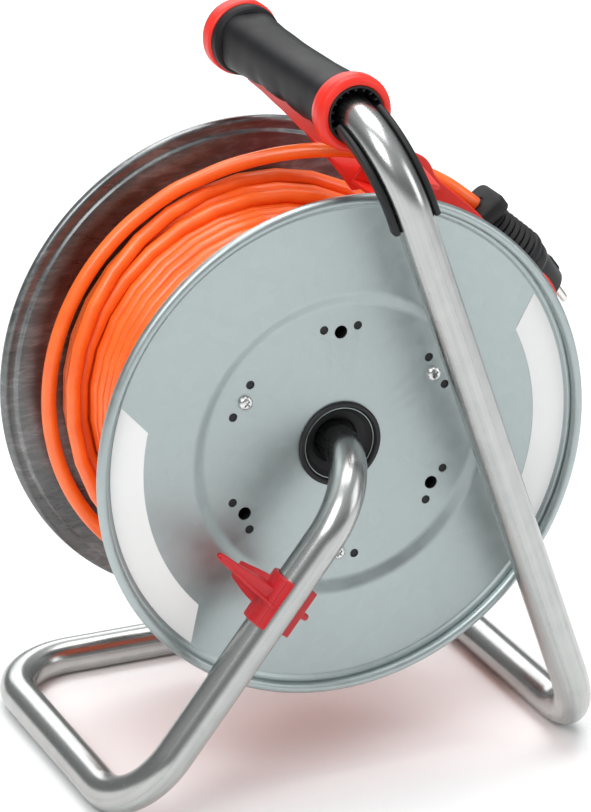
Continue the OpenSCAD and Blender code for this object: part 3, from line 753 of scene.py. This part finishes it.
def cross_screw(name, base, out, r_head, dome, shaft_r, shaft_len):
    """A pan-head screw with a cross recess. base is the middle of the head's seat, out the way it faces."""
    s = out.orthogonal().normalized()
    u = out.cross(s)
    prof = [(shaft_r, -shaft_len), (shaft_r, -0.02)]
    prof += [(r_head * r, dome * h) for r, h in ((1, 0), (1, 0.3), (0.93, 0.62), (0.75, 0.86), (0.5, 0.97),
                                                 (0.25, 1))]
    prof.append((0.02, dome))
    rows = [[base + out * h + (s * x + u * y) * r for x, y in regular(1, 32)] for r, h in prof]
    ob = loft(name, rows, "plated_steel", "drum", sharp=60)
    tools = []
    half_w, half_l = 0.42, r_head * 0.55
    for ax, bx in ((s, u), (u, s)):
        corners = []
        for c, k in ((base + out * (dome - dome * 0.8), 0.55), (base + out * (dome + 1), 1.1)):
            corners += [c + ax * (half_l * k * i) + bx * (half_w * j) for i,
                        j in ((-1, -1), (1, -1), (1, 1), (-1, 1))]
        tools.append(block_tool(corners))
    return cut(ob, tools, 40)


BACK = Vector((0, -1, 0))
joined("flange_screws", [cross_screw(f"s{k}", on_drum(HOLE_R, a, RECESS_Y), BACK, 4.1, 2.7, 2.0, 136)
                         for k, a in enumerate(SCREW_ANGLES)], ["clamp_screws"])

# --- grip ---
GRIP = (5.5, 188.0)


def grip_section(y, a):
    """Radius of the grip at y and angle a: a waisted, softly squared section with finger dips."""
    knots = [(20, 17.9), (34, 17.1), (60, 16.3), (90, 16.0), (120, 16.6), (138, 17.4), (147, 17.9)]
    r = knots[-1][1]
    for (y0, r0), (y1, r1) in zip(knots, knots[1:]):
        if y0 <= y <= y1:
            r = r0 + (r1 - r0) * ease((y - y0) / (y1 - y0))
            break
    c, s = abs(math.cos(a)), abs(math.sin(a))
    n = 2.9
    r *= 0.93 / (c ** n + s ** n) ** (1 / n)
    low = max(0.0, -math.sin(a + 0.25))
    for yc in (38, 71, 104):
        r -= 1.5 * math.exp(-((y - yc) / 6.5) ** 2) * low ** 1.5
    return r


def grip_mesh():
    rows, segs = [], 72
    for y in [16.1, 18.1] + [20 + 1.5 * k for k in range(84)] + [146.2, 146.8]:
        row = [(grip_section(y, TAU * k / segs), c, s) for k, (c, s) in enumerate(regular(1, segs))]
        rows.append([Vector((GRIP[0] + r * c, y, GRIP[1] + r * s)) for r, c, s in row])
    return loft("grip_body", rows, "grip_plastic", "stand", ["handle_grip"], 55)


grip_mesh()
lathe("grip_collar", [(13.6, 145.4), (17.2, 145.4), (18.8, 146.2), (20.0, 147.6), (20.2, 149.5),
                      (20.2, 152.6), (19.8, 152.9), (13.6, 152.9)], "grip_plastic", "stand", GRIP, 96, 0.7)
lathe("grip_ring_front", [(16.1, 4.0), (18.6, 4.0), (20.6, 5.2), (21.5, 8.0), (21.5, 12.5), (20.6, 16.4),
                          (18.6, 20.0), (16.1, 20.0)], "red_plastic", "stand", GRIP, 120, 1.3, 5,
      replaces=["grip_ring_near"], sharp=70)
lathe("grip_ring_back", [(13.6, 153.0), (20.4, 153.0), (21.5, 154.3), (21.5, 161.4), (20.6, 162.9),
                         (13.6, 162.9)], "red_plastic", "stand", GRIP, 120, 0.9, 4,
      replaces=["grip_ring_far"], sharp=70)
lathe("grip_cap", [(0.02, 163.0), (13.5, 163.0), (20.2, 163.0), (20.2, 164.6), (18.8, 165.9), (14.0, 166.5),
                   (12.2, 165.9), (0.02, 165.9)], "black_plastic", "stand", GRIP, 96, 0.5,
      replaces=["grip_end_cap"], sharp=60)


def mouth_liner():
    """Black inner sleeve of the grip, with short ribs round its mouth."""
    parts = [lathe("liner", [(14.6, 4.3), (16.0, 4.3), (16.0, 20), (13.4, 20), (13.4, 162.8), (10.7, 162.8),
                             (10.7, 24), (14.6, 20)], "black_plastic", "stand", GRIP, 96, 0.35)]
    for k in range(18):
        c, s = polar(1, 20 * k + 10)
        f = Matrix(((c, 0, -s, GRIP[0]), (0, 1, 0, 0), (s, 0, c, GRIP[1]), (0, 0, 0, 1)))
        parts.append(prism("rib", [(12.7, 5.4), (15.0, 5.0), (15.0, 17), (12.0, 17)], -0.55, 0.55,
                           "black_plastic", "stand", f, 0.25, "Z"))
    return joined("grip_liner", parts, ["handle_sleeve"])


mouth_liner()


# --- saddle under the neck ---
def saddle():
    """Black channel round the drum side of the tube, from the grip's mouth down the upright."""
    start, c, r, turn, u, w, a = corner(6)
    n = u.cross(w).normalized()
    sect = arc(14.1, 90, 270, 24) + [(3.2, -14.0), (4.0, -13.2), (4.0, -11.5), (3.4, -10.8)]
    sect += arc(10.75, 270, 90, 24) + [(3.4, 10.8), (4.0, 11.5), (4.0, 13.2), (3.2, 14.0)]
    rows = []
    for k in range(8):
        o = start + a * (6 - 6 * k / 8)
        rows.append([o + u * x + n * z for x, z in sect])
    for k in range(31):
        e = u * math.cos(turn * k / 30) + w * math.sin(turn * k / 30)
        o = c + e * r
        row = [o + e * x + n * z for x, z in sect]
        if max(p.y for p in row) > 6.5:
            break
        rows.append(row)
    return loft("neck_channel", rows, "black_plastic", "stand", ["neck_saddle"], 50)


saddle()

# --- guide and cradle ---


def sheet_strip(name, left, right, t, slot, steps=8, across=10, crown=0.0):
    """A thin moulded strip between two edge lines, with rounded edges."""
    lp, rp = smooth_path(left, steps), smooth_path(right, steps)
    rows = []
    for i, (a, b) in enumerate(zip(lp, rp)):
        mid0 = (lp[max(i - 1, 0)] + rp[max(i - 1, 0)]) / 2
        mid1 = (lp[min(i + 1, len(lp) - 1)] + rp[min(i + 1, len(rp) - 1)]) / 2
        w = (b - a).normalized()
        n = w.cross(mid1 - mid0).normalized()
        row = []
        for s in (1, -1):
            for k in range(across + 1):
                f = k / across if s > 0 else 1 - k / across
                row.append(a.lerp(b, f) + n * (s * t / 2 + crown * 4 * f * (1 - f)))
            edge, out = (b, w) if s > 0 else (a, -w)
            for k in range(1, 6):
                q = math.pi * k / 6
                row.append(edge + out * (t / 2 * math.sin(q)) + n * (s * t / 2 * math.cos(q)))
        rows.append(row)
    return loft(name, rows, slot, "stand", sharp=60)


def guide_web():
    outline = [(20.6, 173.5), (20.6, 167), (34, 161.5), (52, 159), (74, 159.4), (90, 161.6), (108, 164),
               (128, 165.4), (146, 166.2), (146, 171.4), (130, 171.0), (100, 171.6), (60, 171.8), (34, 171.2)]
    return prism("web", [(y, z) for y, z in rounded(outline, 2.5, 3)], GRIP[0] - 1.5, GRIP[0] + 1.5,
                 "red_plastic", "stand", None, 0.8, "X", segments=3)


def guide():
    web = guide_web()
    left = [(6, 146, 167.5), (17, 133, 155), (25, 120, 146), (30, 110, 137.5), (36.7, 98, 127),
            (45, 90, 113.5)]
    right = [(14, 146, 167), (27, 129, 161), (43, 117, 149), (60, 103, 137), (66, 90, 124), (66, 84, 117)]
    return joined("guide_sheet", [web, sheet_strip("apron", left, right, 2.6, "red_plastic", crown=1.2)],
                  ["cable_guide"])


guide()


CRADLE_R = 129.6


def cradle():
    red = "red_plastic"
    inner = arc(CRADLE_R - 0.2, 18, 72, 27)
    near = ((76, 150), (74, 161), (68, 160), (65, 157), (62, 151), (56, 148), (48, 146), (40, 143), (32, 146),
            (26, 155), (20, 157), (17, 150))
    far = ((70, 142), (62, 144), (54, 142), (44, 140), (32, 142), (22, 148), (18, 146))
    parts = []
    for name, edge, y in (("near", near, 38), ("far", far, 80.6)):
        outer = smooth_path([(*polar(r, a), 0) for a, r in edge], 4)
        parts.append(prism(name, inner + outer, y, y + 2.4, red, "stand", bevel=0.7))
    base = arc(CRADLE_R, 18, 72, 27) + arc(CRADLE_R - 2.4, 72, 18, 27)
    parts.append(prism("base", base, 38, 83, red, "stand", bevel=0.6, segments=3))
    for a in (24, 45, 66):
        (x0, z0), (x1, z1) = polar(130, a), polar(136, a)
        rib = [(x0 - 0.9, z0), (x0 + 0.9, z0), (x1 + 0.9, z1), (x1 - 0.9, z1)]
        parts.append(prism(f"web{a}", rib, 40, 46, red, "stand", bevel=0.3))
    left = [(25, -17, 153), (31, 11, 153.5), (37, 38.8, 152.8)]
    right = [(44, -17, 149), (49, 11, 149), (54, 38.8, 147.5)]
    parts.append(sheet_strip("tongue", left, right, 2.6, red, crown=0.8))
    return joined("cradle_channel", parts, ["plug_cradle"])


cradle()

# --- brake ---


# From the leg's upper corner down the leg to the clip's upper end
BRAKE_AT = 73


def brake():
    """Clip on the leg with a raised spine, a tapered finger blade, a nose and a pegged bar."""
    p0 = Vector(ROUTE[1])
    d = (Vector(ROUTE[2]) - p0).normalized()
    b, c = math.acos(d.z), math.atan2(d.y, d.x)
    f = Matrix.Translation(p0 + d * BRAKE_AT) @ (Matrix.Rotation(c, 4, "Z") @ Matrix.Rotation(b, 4, "Y"))
    red = "brake_plastic"

    outline = arc(13.4, 116, 340, 40) + arc(10.58, 340, 116, 40)
    parts = [prism("clip", outline, 0, 30, red, "brake", f, 0.7, "Z", segments=3)]
    spine = arc(14.0, 134, 160, 8) + arc(12.6, 160, 134, 8)
    parts.append(prism("spine", spine, 0.4, 29.6, red, "brake", f, 0.5, "Z"))
    parts.append(prism("bar", rounded([(11.4, -8.4), (18.2, -8.4), (18.2, -2.6), (12.6, -2.6)], 0.8, 2), 0.6,
                       29.4, red, "brake", f, 0.8, "Z", segments=3))
    rows = []
    for x, r in ((17.0, 2.6), (18.2, 2.3), (19.6, 2.1), (21.6, 2.0), (22.4, 1.6), (22.6, 0.9)):
        rows.append([f @ Vector((x, y, z)) for y, z in regular(r, 24, (-5.5, 15))])
    parts.append(loft("peg", rows, red, "brake", sharp=60))
    rows = []
    for i in range(29):
        t = i / 28
        x = -9.5 - 43.5 * t
        bottom = 17.4 - 8.4 * t
        top = bottom - 9.4 + 6.2 * t ** 0.8
        yb, yf = -3.6 + 8.4 * ease(t), 9.9 - 1.9 * t
        rib, lip = 2.3 - 0.7 * t, 2.4 * (1 - t) + 0.7
        if i > 25:
            k = (i - 25) / 3
            grow = math.sqrt(max(0.0, 1 - k * k * 0.96))
            zc, yc = (bottom + top) / 2, (yb + yf) / 2
            bottom, top = zc + (bottom - zc) * grow, zc + (top - zc) * grow
            yb, yf, lip, rib = yc + (yb - yc) * grow, yc + (yf - yc) * grow, lip * grow, rib * grow
        face = yf - lip
        low = bottom - rib
        sect = [(yb, top), (yb + 0.6, top - 0.5), (face - 0.6, top - 0.5), (face, top), (face, low - 0.6),
                (face + 0.5, low), (yf - 0.6, low + 0.2), (yf, low + 0.9), (yf, bottom - 0.7),
                (yf - 0.7, bottom), (yb + 0.7, bottom), (yb, bottom - 0.7)]
        rows.append([f @ Vector((x, y, z)) for y, z in sect])
    parts.append(loft("blade", rows, red, "brake", sharp=45))
    rib_rows = []
    for i in range(9):
        r = 14.1 - 0.9 * (i / 8) ** 2
        w = 1.25 * math.sqrt(max(0.05, 1 - (i / 8) ** 4))
        rib_rows.append([f @ Vector((*polar(r + 0.8 * x, 152 - 30 * i / 8), 16.4 + z)) for x,
                         z in regular(w, 14)])
    parts.append(loft("rib", rib_rows, red, "brake", sharp=60))
    rows = []
    for (x, y), w0, w1, th in (((-10.0, -2.0), 4.0, 22.0, 6.4), ((-13, -6.5), 4.6, 21.6, 6.4),
                               ((-15.4, -12), 5.8, 20.8, 6.0),
                               ((-16.8, -19), 7.4, 20.0, 5.2), ((-17.4, -25), 8.6, 19.6,
                                                                4.4), ((-17.6, -28.2), 9.4, 19.0, 2.6)):
        rows.append([f @ Vector((x + u * th / 2, y, z)) for u, z in rounded([(-1, w0), (1, w0), (1, w1),
                                                                             (-1, w1)], 0.5, 3)])
    parts.append(loft("nose", rows, red, "brake", sharp=50))
    return joined("brake_clip", parts, ["brake_lever"])


brake()

# --- plug ---
PLUG_M = Matrix.Translation(PLUG_AT) @ Matrix.Rotation(PLUG_TILT, 4, "Y")


FLIP_YZ = Matrix(((1, 0, 0, 0), (0, 0, 1, 0), (0, 1, 0, 0), (0, 0, 0, 1)))


def on_side(s):
    """The plug's frame for its one or other side, with Y and Z swapped."""
    return PLUG_M @ Matrix.Rotation(0 if s > 0 else math.pi, 4, "Z") @ FLIP_YZ


def plug():
    rubber, black, body = "black_rubber", "black_plastic", "stand"
    rows = []
    for h, sx, sy, r in ((0.2, 11.6, 12.0, 4.0), (0.9, 12.8, 13.2, 4.8), (2.4, 13.5, 14.0, 5.4),
                         (8.2, 13.5, 14.0, 5.4),
                         (9.6, 12.6, 13.0, 5.2), (10.4, 11.2, 11.4, 5.0)):
        square = rounded([(-sx, -sy), (sx, -sy), (sx, sy), (-sx, sy)], r, 8)
        rows.append([PLUG_M @ Vector((x, y, h)) for x, y in square])
    collar = loft("collar", rows, rubber, body, sharp=50)
    cut(collar, [tool_cylinder(PLUG_M @ Vector((0, 0, -1)), PLUG_M @ Vector((0, 0, 7.0)), 5.6, 48)])
    throat = turned(PLUG_M, [(4.36, 0.8), (5.7, 0.8), (5.7, 9.0), (4.36, 9.0)], "throat", rubber, body)
    prof = [(7.0, 8.6)]
    z, n = 10.6, 7
    step = 27.4 / n
    for k in range(n):
        r0, r1 = 10.4 + 6.6 * k / n, 10.4 + 6.6 * (k + 1) / n
        prof += [(r0 - 2.0, z), (r0 - 2.0, z + 0.5), (r0 - 0.1, z + 0.75), (r0 + 0.5, z + 1.4),
                 (r1 + 0.5, z + step - 1.3), (r1 + 0.1, z + step - 0.6), (r1 - 1.6, z + step - 0.35)]
        z += step
    prof += [(15.4, z + 0.3), (16.6, z + 0.6), (17.9, z + 1.4), (18.4, z + 2.8), (18.3, z + 5.2),
             (17.6, z + 6.6), (17.0, 45.1), (10, 45.15)]
    seam = [(7.5, 11.0), (10.4, 11.0), (16.6, 37.6), (7.5, 37.6)]
    seams = [prism(f"seam{s}", seam, -1.1, 1.1, rubber, body, on_side(s), 0.4, "Z") for s in (-1, 1)]
    sleeve = joined("plug_relief", [collar, throat, turned(PLUG_M, prof, "ribs", rubber, body,
                                                           sharp=35)] + seams, ["plug_sleeve"])

    prof = [(10, 45.2), (17.0, 45.2), (17.5, 45.8), (17.6, 47.0), (17.5, 50.2), (17.2, 51.4), (16.7, 52.2),
            (16.5, 53.2), (16.4, 69.2), (15.8, 70.1), (14.6, 70.2), (0.02, 70.2)]
    shell = turned(PLUG_M, prof, "plug_shell", black, body, sharp=40)
    slot_foot = ((-3, 13.4), (3, 13.4), (3, 19), (-3, 19))
    cut(shell, [block_tool([PLUG_M @ Vector((x, s * y, z)) for z in (54.6, 75) for x, y in slot_foot])
                for s in (-1, 1)], 40)
    guard = [(13.8, 57.5), (17.3, 57.5), (17.3, 66.5), (15.6, 69.6), (13.8, 69.6)]
    guards = [prism(f"guard{s}", guard, -3.2, 3.2, black, body, on_side(s), 0.5, "Z") for s in (-1, 1)]
    housing = joined("plug_housing", [shell] + guards, ["plug_body"])

    prof = [(2.4, 60.2), (2.4, 84.4), (2.3, 85.9), (1.95, 87.3), (1.3, 88.2), (0.6, 88.55), (0.02, 88.6)]
    pins = [turned(PLUG_M @ Matrix.Translation((s * 9.5, 0, 0)), prof, f"pin{s}", "pin_metal", body, 32,
                   sharp=60) for s in (-1, 1)]
    clips = []
    for s in (-1, 1):
        rows = [[PLUG_M @ Vector((x, s * (y + dy), z)) for x, dy in ((-2.4, -0.3), (2.4, -0.3), (2.4, 0.3),
                                                                     (-2.4, 0.3))] for y,
                z in [(14.3, 56.2), (14.9, 59), (15.2, 63), (14.8, 67), (14.0, 69.8)]]
        clips.append(loft(f"clip{s}", rows, "pin_metal", body, sharp=50))
    return [sleeve, housing, joined("plug_pin_pair", pins, ["plug_pins"]),
            joined("plug_clip_pair", clips, ["plug_earth_clips"])]


PLUG_PIECES = plug()

# --- crank knob ---
KNOB_Y = 146.0


def knob():
    middle = on_drum(KNOB_R, KNOB_ANGLE, 0)
    centre = (middle.x, middle.z)
    prof = [(4.06, 0), (10.6, 0), (12.2, 1.4), (11.7, 4.5), (10.5, 9.5), (10.8, 15), (11.6, 20.5), (12.6, 27),
            (12.4, 31.4), (10.6, 33.8), (7.4, 34.0), (7.2, 30.5), (4.06, 30.5)]
    body = lathe("knob_body", [(r, KNOB_Y + y) for r, y in prof], "black_plastic", "knob", centre, 96, 1.4, 5,
                 sharp=50)
    tools = []
    for (x0, z0), (x1, z1) in zip(arc(13.0, 0, 324, 9, centre), arc(13.9, 0, 324, 9, centre)):
        tools.append(tool_cylinder(Vector((x0, KNOB_Y + 7, z0)), Vector((x1, KNOB_Y + 29, z1)), 1.5, 16))
    cut(body, tools, 45)
    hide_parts("crank_knob")
    end = KNOB_Y + 30.6
    pin = [lathe(name, prof, "plated_steel", "drum", centre, 48, fillet) for name, prof, fillet in (
        ("pin_shaft", [(0.02, 142.3), (4.0, 142.3), (4.0, end), (0.02, end)], 0.0),
        ("pin_back", [(0.02, 140.3), (6.4, 140.3), (7.0, 140.9), (7.0, 142.2), (0.02, 142.2)], 0.3),
        ("pin_collar", [(3.2, 143.0), (9.0, 143.0), (9.0, 145.7), (3.2, 145.7)], 0.4),
        ("pin_head", [(0.02, end), (6.6, end), (6.5, end + 1.0), (5.2, end + 1.8), (0.02, end + 2.0)], 0.3))]
    return joined("knob_pin", pin, ["crank_pin"])


knob()

# --- outlets ---
PLATE_Y1, WELL_FLOOR, WELL_R, INSERT_R, HINGE_OFF, HINGE_Y = 157.0, 143.2, 19.5, 21.9, 67.0, 160.0
OUTLET_OFF, LID_R, LID_Y, LID_T = 41.0, 22.5, 157.4, 2.6
HINGE_X = HINGE_OFF - OUTLET_OFF
CONTACT_OFF, EARTH_OFF = 9.5, 18.6
OUTLET_ANGLES = (45, 135, 225, 315)


def outlet_frame(i):
    """Frame of one outlet: X outwards from the drum axis, Y along it, origin on the outlet's axis."""
    c, s = polar(1, OUTLET_ANGLES[i])
    return Matrix(((c, 0, -s, OUTLET_OFF * c), (0, 1, 0, 0), (s, 0, c, OUTLET_OFF * s), (0, 0, 0, 1)))


def contact_centre(i, s):
    """Where one of the two contacts of an outlet lies, across the drum axis."""
    c, z = polar(1, OUTLET_ANGLES[i])
    return (OUTLET_OFF * c - s * CONTACT_OFF * z, OUTLET_OFF * z + s * CONTACT_OFF * c)


def box_tool(f, lo, hi):
    """A box in a frame, used only as a cutter."""
    corners = ((lo[0], lo[1]), (hi[0], lo[1]), (hi[0], hi[1]), (lo[0], hi[1]))
    return block_tool([f @ Vector((x, y, z)) for z in (lo[2], hi[2]) for x, y in corners])


def frame_cylinder(f, x, z, y0, y1, r, segs=48):
    return tool_cylinder(f @ Vector((x, y0, z)), f @ Vector((x, y1, z)), r, segs)


def plate():
    prof = [(7.25, 141.0), (12.2, 141.0), (12.2, 140.0), (80, 140.0), (80.0, 142.6), (78.4, 144.2),
            (77.2, 153.4), (75.8, 156.0), (73.6, 157.0), (7.25, 157.0)]
    base = lathe("plate", prof, "black_plastic", "drum", segs=160, fillet=0.7, sharp=50)
    tools = []
    for i in range(4):
        f = outlet_frame(i)
        tools.append(frame_cylinder(f, 0, 0, 138, 168, INSERT_R + 0.05, 96))
        tools.append(box_tool(f, (HINGE_X - 4, PLATE_Y1 - 2.2, -7.6), (HINGE_X + 8, PLATE_Y1 + 8, 7.6)))
    tools += hole_tools([(HOLE_R, a, 5.0) for a in SCREW_ANGLES], 139, 147)
    for a in PLATE_SCREWS:
        tools += hole_tools([(PLATE_SCREW_R, a, 2.2)], 139, 168) + hole_tools([(PLATE_SCREW_R, a, 4.2)],
                                                                              PLATE_Y1 - 4, 165)
    parts = [cut(base, tools, 40)]
    ear = [(HINGE_X - 3, PLATE_Y1 - 4)] + arc(3.0, 180, 0, 12, (HINGE_X, HINGE_Y)) + [(HINGE_X + 3,
                                                                                       PLATE_Y1 - 4)]
    rim = [(INSERT_R + dr, PLATE_Y1 + dy) for dr, dy in ((0.06, -0.6), (2.4, -0.6), (2.2, 0.1), (0.06, 0.1))]
    for i in range(4):
        for z in (-9.5, 9.5):
            parts.append(prism("ear", ear, z - 1.7, z + 1.7, "black_plastic", "drum", outlet_frame(i), 0.4,
                               "Z"))
        parts.append(lathe("rim", rim, "black_plastic", "drum", polar(OUTLET_OFF, OUTLET_ANGLES[i]), 96,
                           0.15))
    return joined("outlet_plate", parts, ["socket_plate"])


plate()


def outlets():
    well = rounded([(0.02, 140.3), (INSERT_R - 0.1, 140.3), (INSERT_R - 0.1, 156.6), (INSERT_R - 0.8, 157.0),
                    (WELL_R + 0.8, 157.0), (WELL_R, 156.0), (WELL_R - 0.1, WELL_FLOOR + 0.8),
                    (WELL_R - 0.9, WELL_FLOOR), (0.02, WELL_FLOOR)], 0.25, 2)
    boss = [(r, WELL_FLOOR + dy) for r, dy in ((2.75, -0.2), (4.4, -0.2), (4.1, 0.7), (2.75, 0.5))]
    key = [(-1.6, 144.5), (1.6, 144.5), (1.6, 156.2), (-1.6, 156.2)]
    for i in range(4):
        f = outlet_frame(i)
        centre = polar(OUTLET_OFF, OUTLET_ANGLES[i])
        cup = lathe(f"cup{i}", well, "grip_plastic", "drum", centre, 96, sharp=45)
        tools = [frame_cylinder(f, 0, s * CONTACT_OFF, 138, 150, 2.7, 32) for s in (-1, 1)]
        tools += [box_tool(f, (s * EARTH_OFF - 1.3, 139, -2.3), (s * EARTH_OFF + 1.3, 150, 2.3)) for s in (-1,
                                                                                                           1)]
        parts = [cut(cup, tools, 40)]
        for s in (-1, 1):
            parts.append(lathe("boss", boss, "grip_plastic", "drum", contact_centre(i, s), 40, 0.15))
            parts.append(prism("key", key, s * 18.4 - 0.9, s * 18.4 + 0.9, "grip_plastic", "drum", f, 0.3,
                               "Z"))
        joined(f"outlet_cup_{i + 1}", parts, [f"socket_insert_{i + 1}"])
        lid(i, f, centre)


def lid(i, f, centre):
    body, slot = f"lid_{i + 1}", "black_plastic"
    top = LID_Y + LID_T
    disc = [(0.02, LID_Y), (LID_R - 0.3, LID_Y), (LID_R, LID_Y + 0.5), (LID_R, LID_Y + 2.0),
            (LID_R - 0.8, top), (LID_R - 2.6, top + 0.05), (LID_R - 3.4, top + 0.75),
            (LID_R - 5.4, top + 0.8), (LID_R - 6.4, top + 0.1), (0.02, top)]
    parts = [lathe("disc", rounded(disc, 0.3, 2), slot, body, centre, 96)]
    x0, x1 = LID_R - 4, HINGE_X - 0.6
    arm = prism("arm", rounded([(x0, -7.2), (x1, -7.2), (x1, 7.2), (x0, 7.2)], 0.6, 2), LID_Y, top, slot,
                body, f, 0.4)
    knuckles = []
    for z0, z1 in ((-7.2, -3.2), (3.2, 7.2)):
        prof = [(2.5, z0), (2.9, z0 + 0.35), (2.9, z1 - 0.35), (2.5, z1)]
        knuckles.append(turned(f, prof, "knuckle", slot, body, 32, (HINGE_X, HINGE_Y), 40))
    cut(arm, [box_tool(f, (HINGE_X - 3.4, LID_Y - 3, -3.2), (HINGE_X + 6, LID_Y + 9, 3.2))])
    parts += [arm] + knuckles
    for k in range(3):
        x, z = 1.2 - LID_R + 1.9 * k, 4.6 - 0.7 * k
        bar = rounded([(x, -z), (x + 0.9, -z), (x + 0.9, z), (x, z)], 0.3, 2)
        parts.append(prism("grip", bar, LID_Y + 1.5, top + 0.55, slot, body, f, 0.2))
    joined(f"outlet_lid_{i + 1}", parts, [f"socket_lid_{i + 1}"])


outlets()


def hinge_parts():
    pins, springs = [], []
    centre, n = (HINGE_X, HINGE_Y), 6 * 16
    for i in range(4):
        f = outlet_frame(i)
        pins.append(turned(f, [(0.9, -11.6), (1.4, -11.3), (1.4, 11.3), (0.9, 11.6)], "pin", "plated_steel",
                           "drum", 24, centre))
        coil = [f @ Vector((*p, -2.55 + 5.1 * k / n)) for k, p in enumerate(arc(2.05, 0, 6 * 360, n, centre))]
        springs.append(sweep("coil", coil, 0.34, "plated_steel", "drum", 8))
    joined("hinge_pins", pins, ["lid_pins"])
    joined("hinge_springs", springs, ["lid_springs"])


hinge_parts()

joined("cover_screws", [cross_screw(f"p{k}", on_drum(PLATE_SCREW_R, a, PLATE_Y1 - 4), Vector((0, 1, 0)), 3.8,
                                    2.4, 1.95, 15) for k, a in enumerate(PLATE_SCREWS)], ["plate_screws"])


def nuts():
    parts = []
    for a in SCREW_ANGLES:
        c = on_drum(HOLE_R, a, 0)
        nut = prism("nut", arc(4.3, 0, 300, 5, (c.x, c.z)), 140.05, 143.2, "plated_steel", "drum", bevel=0.35)
        parts.append(cut(nut, hole_tools([(HOLE_R, a, 2.02)], 138, 146, 24)))
    return joined("flange_nuts", parts, ["clamp_nuts"])


nuts()
lathe("reset_button", [(0.02, 135.0), (5.35, 135.0), (5.35, 158.2), (5.0, 159.4), (3.9, 160.0),
                       (0.02, 159.6)], "red_plastic", "button", segs=64, fillet=0.5,
      replaces=["thermal_button"], sharp=50)


def cutout_cup():
    prof = [(5.65, 130), (5.65, 142.9), (12.0, 142.9), (12.0, 121.4), (11.6, 121.0), (0.02, 121.0),
            (0.02, 130.0)]
    return lathe("cutout_case", prof, "black_plastic", "drum", segs=64, fillet=0.25,
                 replaces=["thermal_cutout"], sharp=50)


cutout_cup()


def contacts():
    parts = []
    tube = [(2.5, 131.2), (3.4, 131.2), (3.4, 140.15), (2.5, 140.15)]
    for i in range(4):
        f = outlet_frame(i)
        for s in (-1, 1):
            parts.append(lathe("tube", tube, "contact_brass", "drum", contact_centre(i, s), 32, 0.2))
            rows = []
            for y, off in ((140.4, 0.0), (143, 0.0), (145.5, -0.35), (148.5, -0.55), (151, -0.2),
                           (152.2, 0.25)):
                rows.append([f @ Vector((s * (EARTH_OFF + off + t), y, z))
                             for t, z in ((-0.35, -1.8), (0.35, -1.8), (0.35, 1.8), (-0.35, 1.8))])
            parts.append(loft("strip", rows, "contact_brass", "drum", sharp=50))
    return joined("outlet_contacts", parts, ["socket_contacts"])


contacts()


def axle_parts():
    lathe("end_washer", [(4.25, 112.0), (17.0, 112.0), (17.0, 114.0), (4.25, 114.0)], "plated_steel", "stand",
          segs=72, fillet=0.3, replaces=["axle_washer"])
    head = prism("head", arc(6.5, 0, 300, 5), 114.05, 119.0, "plated_steel", "stand", bevel=0.6, segments=3)
    thread = [p for k in range(15) for p in ((3.38, 97 + k), (3.0, 97.5 + k))]
    shaft = lathe("shaft", [(0.02, 96), (3.0, 96)] + thread + [(3.38, 114.02), (0.02, 114.02)],
                  "plated_steel", "stand", segs=32)
    joined("end_screw", [head, shaft], ["axle_screw"])


axle_parts()


LABEL_R0, LABEL_R1, LABEL_SLANT = 116.6, 135.7, 5.5


def blank_label(name, a0, a1, replaces):
    """Blank film label with slanted ends."""
    outline = arc(LABEL_R1, a0, a1, 40) + arc(LABEL_R0, a1 - LABEL_SLANT, a0 + LABEL_SLANT, 40)
    return prism(name, outline, 4.72, 4.99, "label_film", "drum", bevel=0, replaces=replaces)


blank_label("film_left", 162, 229, ["label_left"])
blank_label("film_right", -34, 32, ["label_right"])

# --- stage ---


def area(name, loc, size, power):
    """An area light that looks at the reel."""
    li = bpy.data.lights.new(name, "AREA")
    li.shape = "RECTANGLE"
    li.size, li.size_y = size
    li.energy = power
    ob = new_object(name, li)
    ob.location = loc
    ob.rotation_mode = "QUATERNION"
    ob.rotation_quaternion = (Vector((0, 0, 0.2)) - Vector(loc)).to_track_quat("-Z", "Y")


def make_stage():
    me = bpy.data.meshes.new("floor")
    s = 30.0
    me.from_pydata([(-s, -s, 0), (s, -s, 0), (s, s, 0), (-s, s, 0)], [], [(0, 1, 2, 3)])
    floor = new_object("floor", me)
    f = Shader("floor")
    grain = f.noise(f.coords(), 3, 2, 0.5)
    me.materials.append(f.done(f.ramp(grain, [(0.3, 0.90), (0.7, 0.92)]), 0.8, Specular_IOR_Level=0.15))

    # The sky is brighter overhead than at the horizon, so that metal shows darker streaks
    world = bpy.data.worlds.new("studio")
    world.use_nodes = True
    tree = world.node_tree
    bg = tree.nodes["Background"]
    tc, sep, ramp = [tree.nodes.new("ShaderNode" + kind) for kind in ("TexCoord", "SeparateXYZ", "ValToRGB")]
    greys = [(pos, (v, v * 1.02, v * 1.04)) for pos, v in ((0.08, 0.30), (0.30, 0.34), (0.55, 0.66))]
    fill_ramp(ramp.color_ramp, [(0.0, (0.40, 0.41, 0.42)), *greys, (1.0, (0.86, 0.88, 0.90))])
    tree.links.new(tc.outputs["Generated"], sep.inputs["Vector"])
    tree.links.new(sep.outputs["Z"], ramp.inputs["Fac"])
    tree.links.new(ramp.outputs["Color"], bg.inputs["Color"])
    bg.inputs["Strength"].default_value = 0.8
    bpy.context.scene.world = world
    bpy.context.scene.view_settings.view_transform = "Standard"

    area("key", (-1.7, -1.5, 2.3), (1.5, 1.5), 42)
    area("fill", (2.3, -1.7, 1.2), (1.2, 1.8), 16)
    area("top", (0.2, 0.3, 2.8), (2.2, 2.2), 56)
    area("back", (0.4, 2.6, 1.6), (2.0, 1.4), 20)


make_stage()
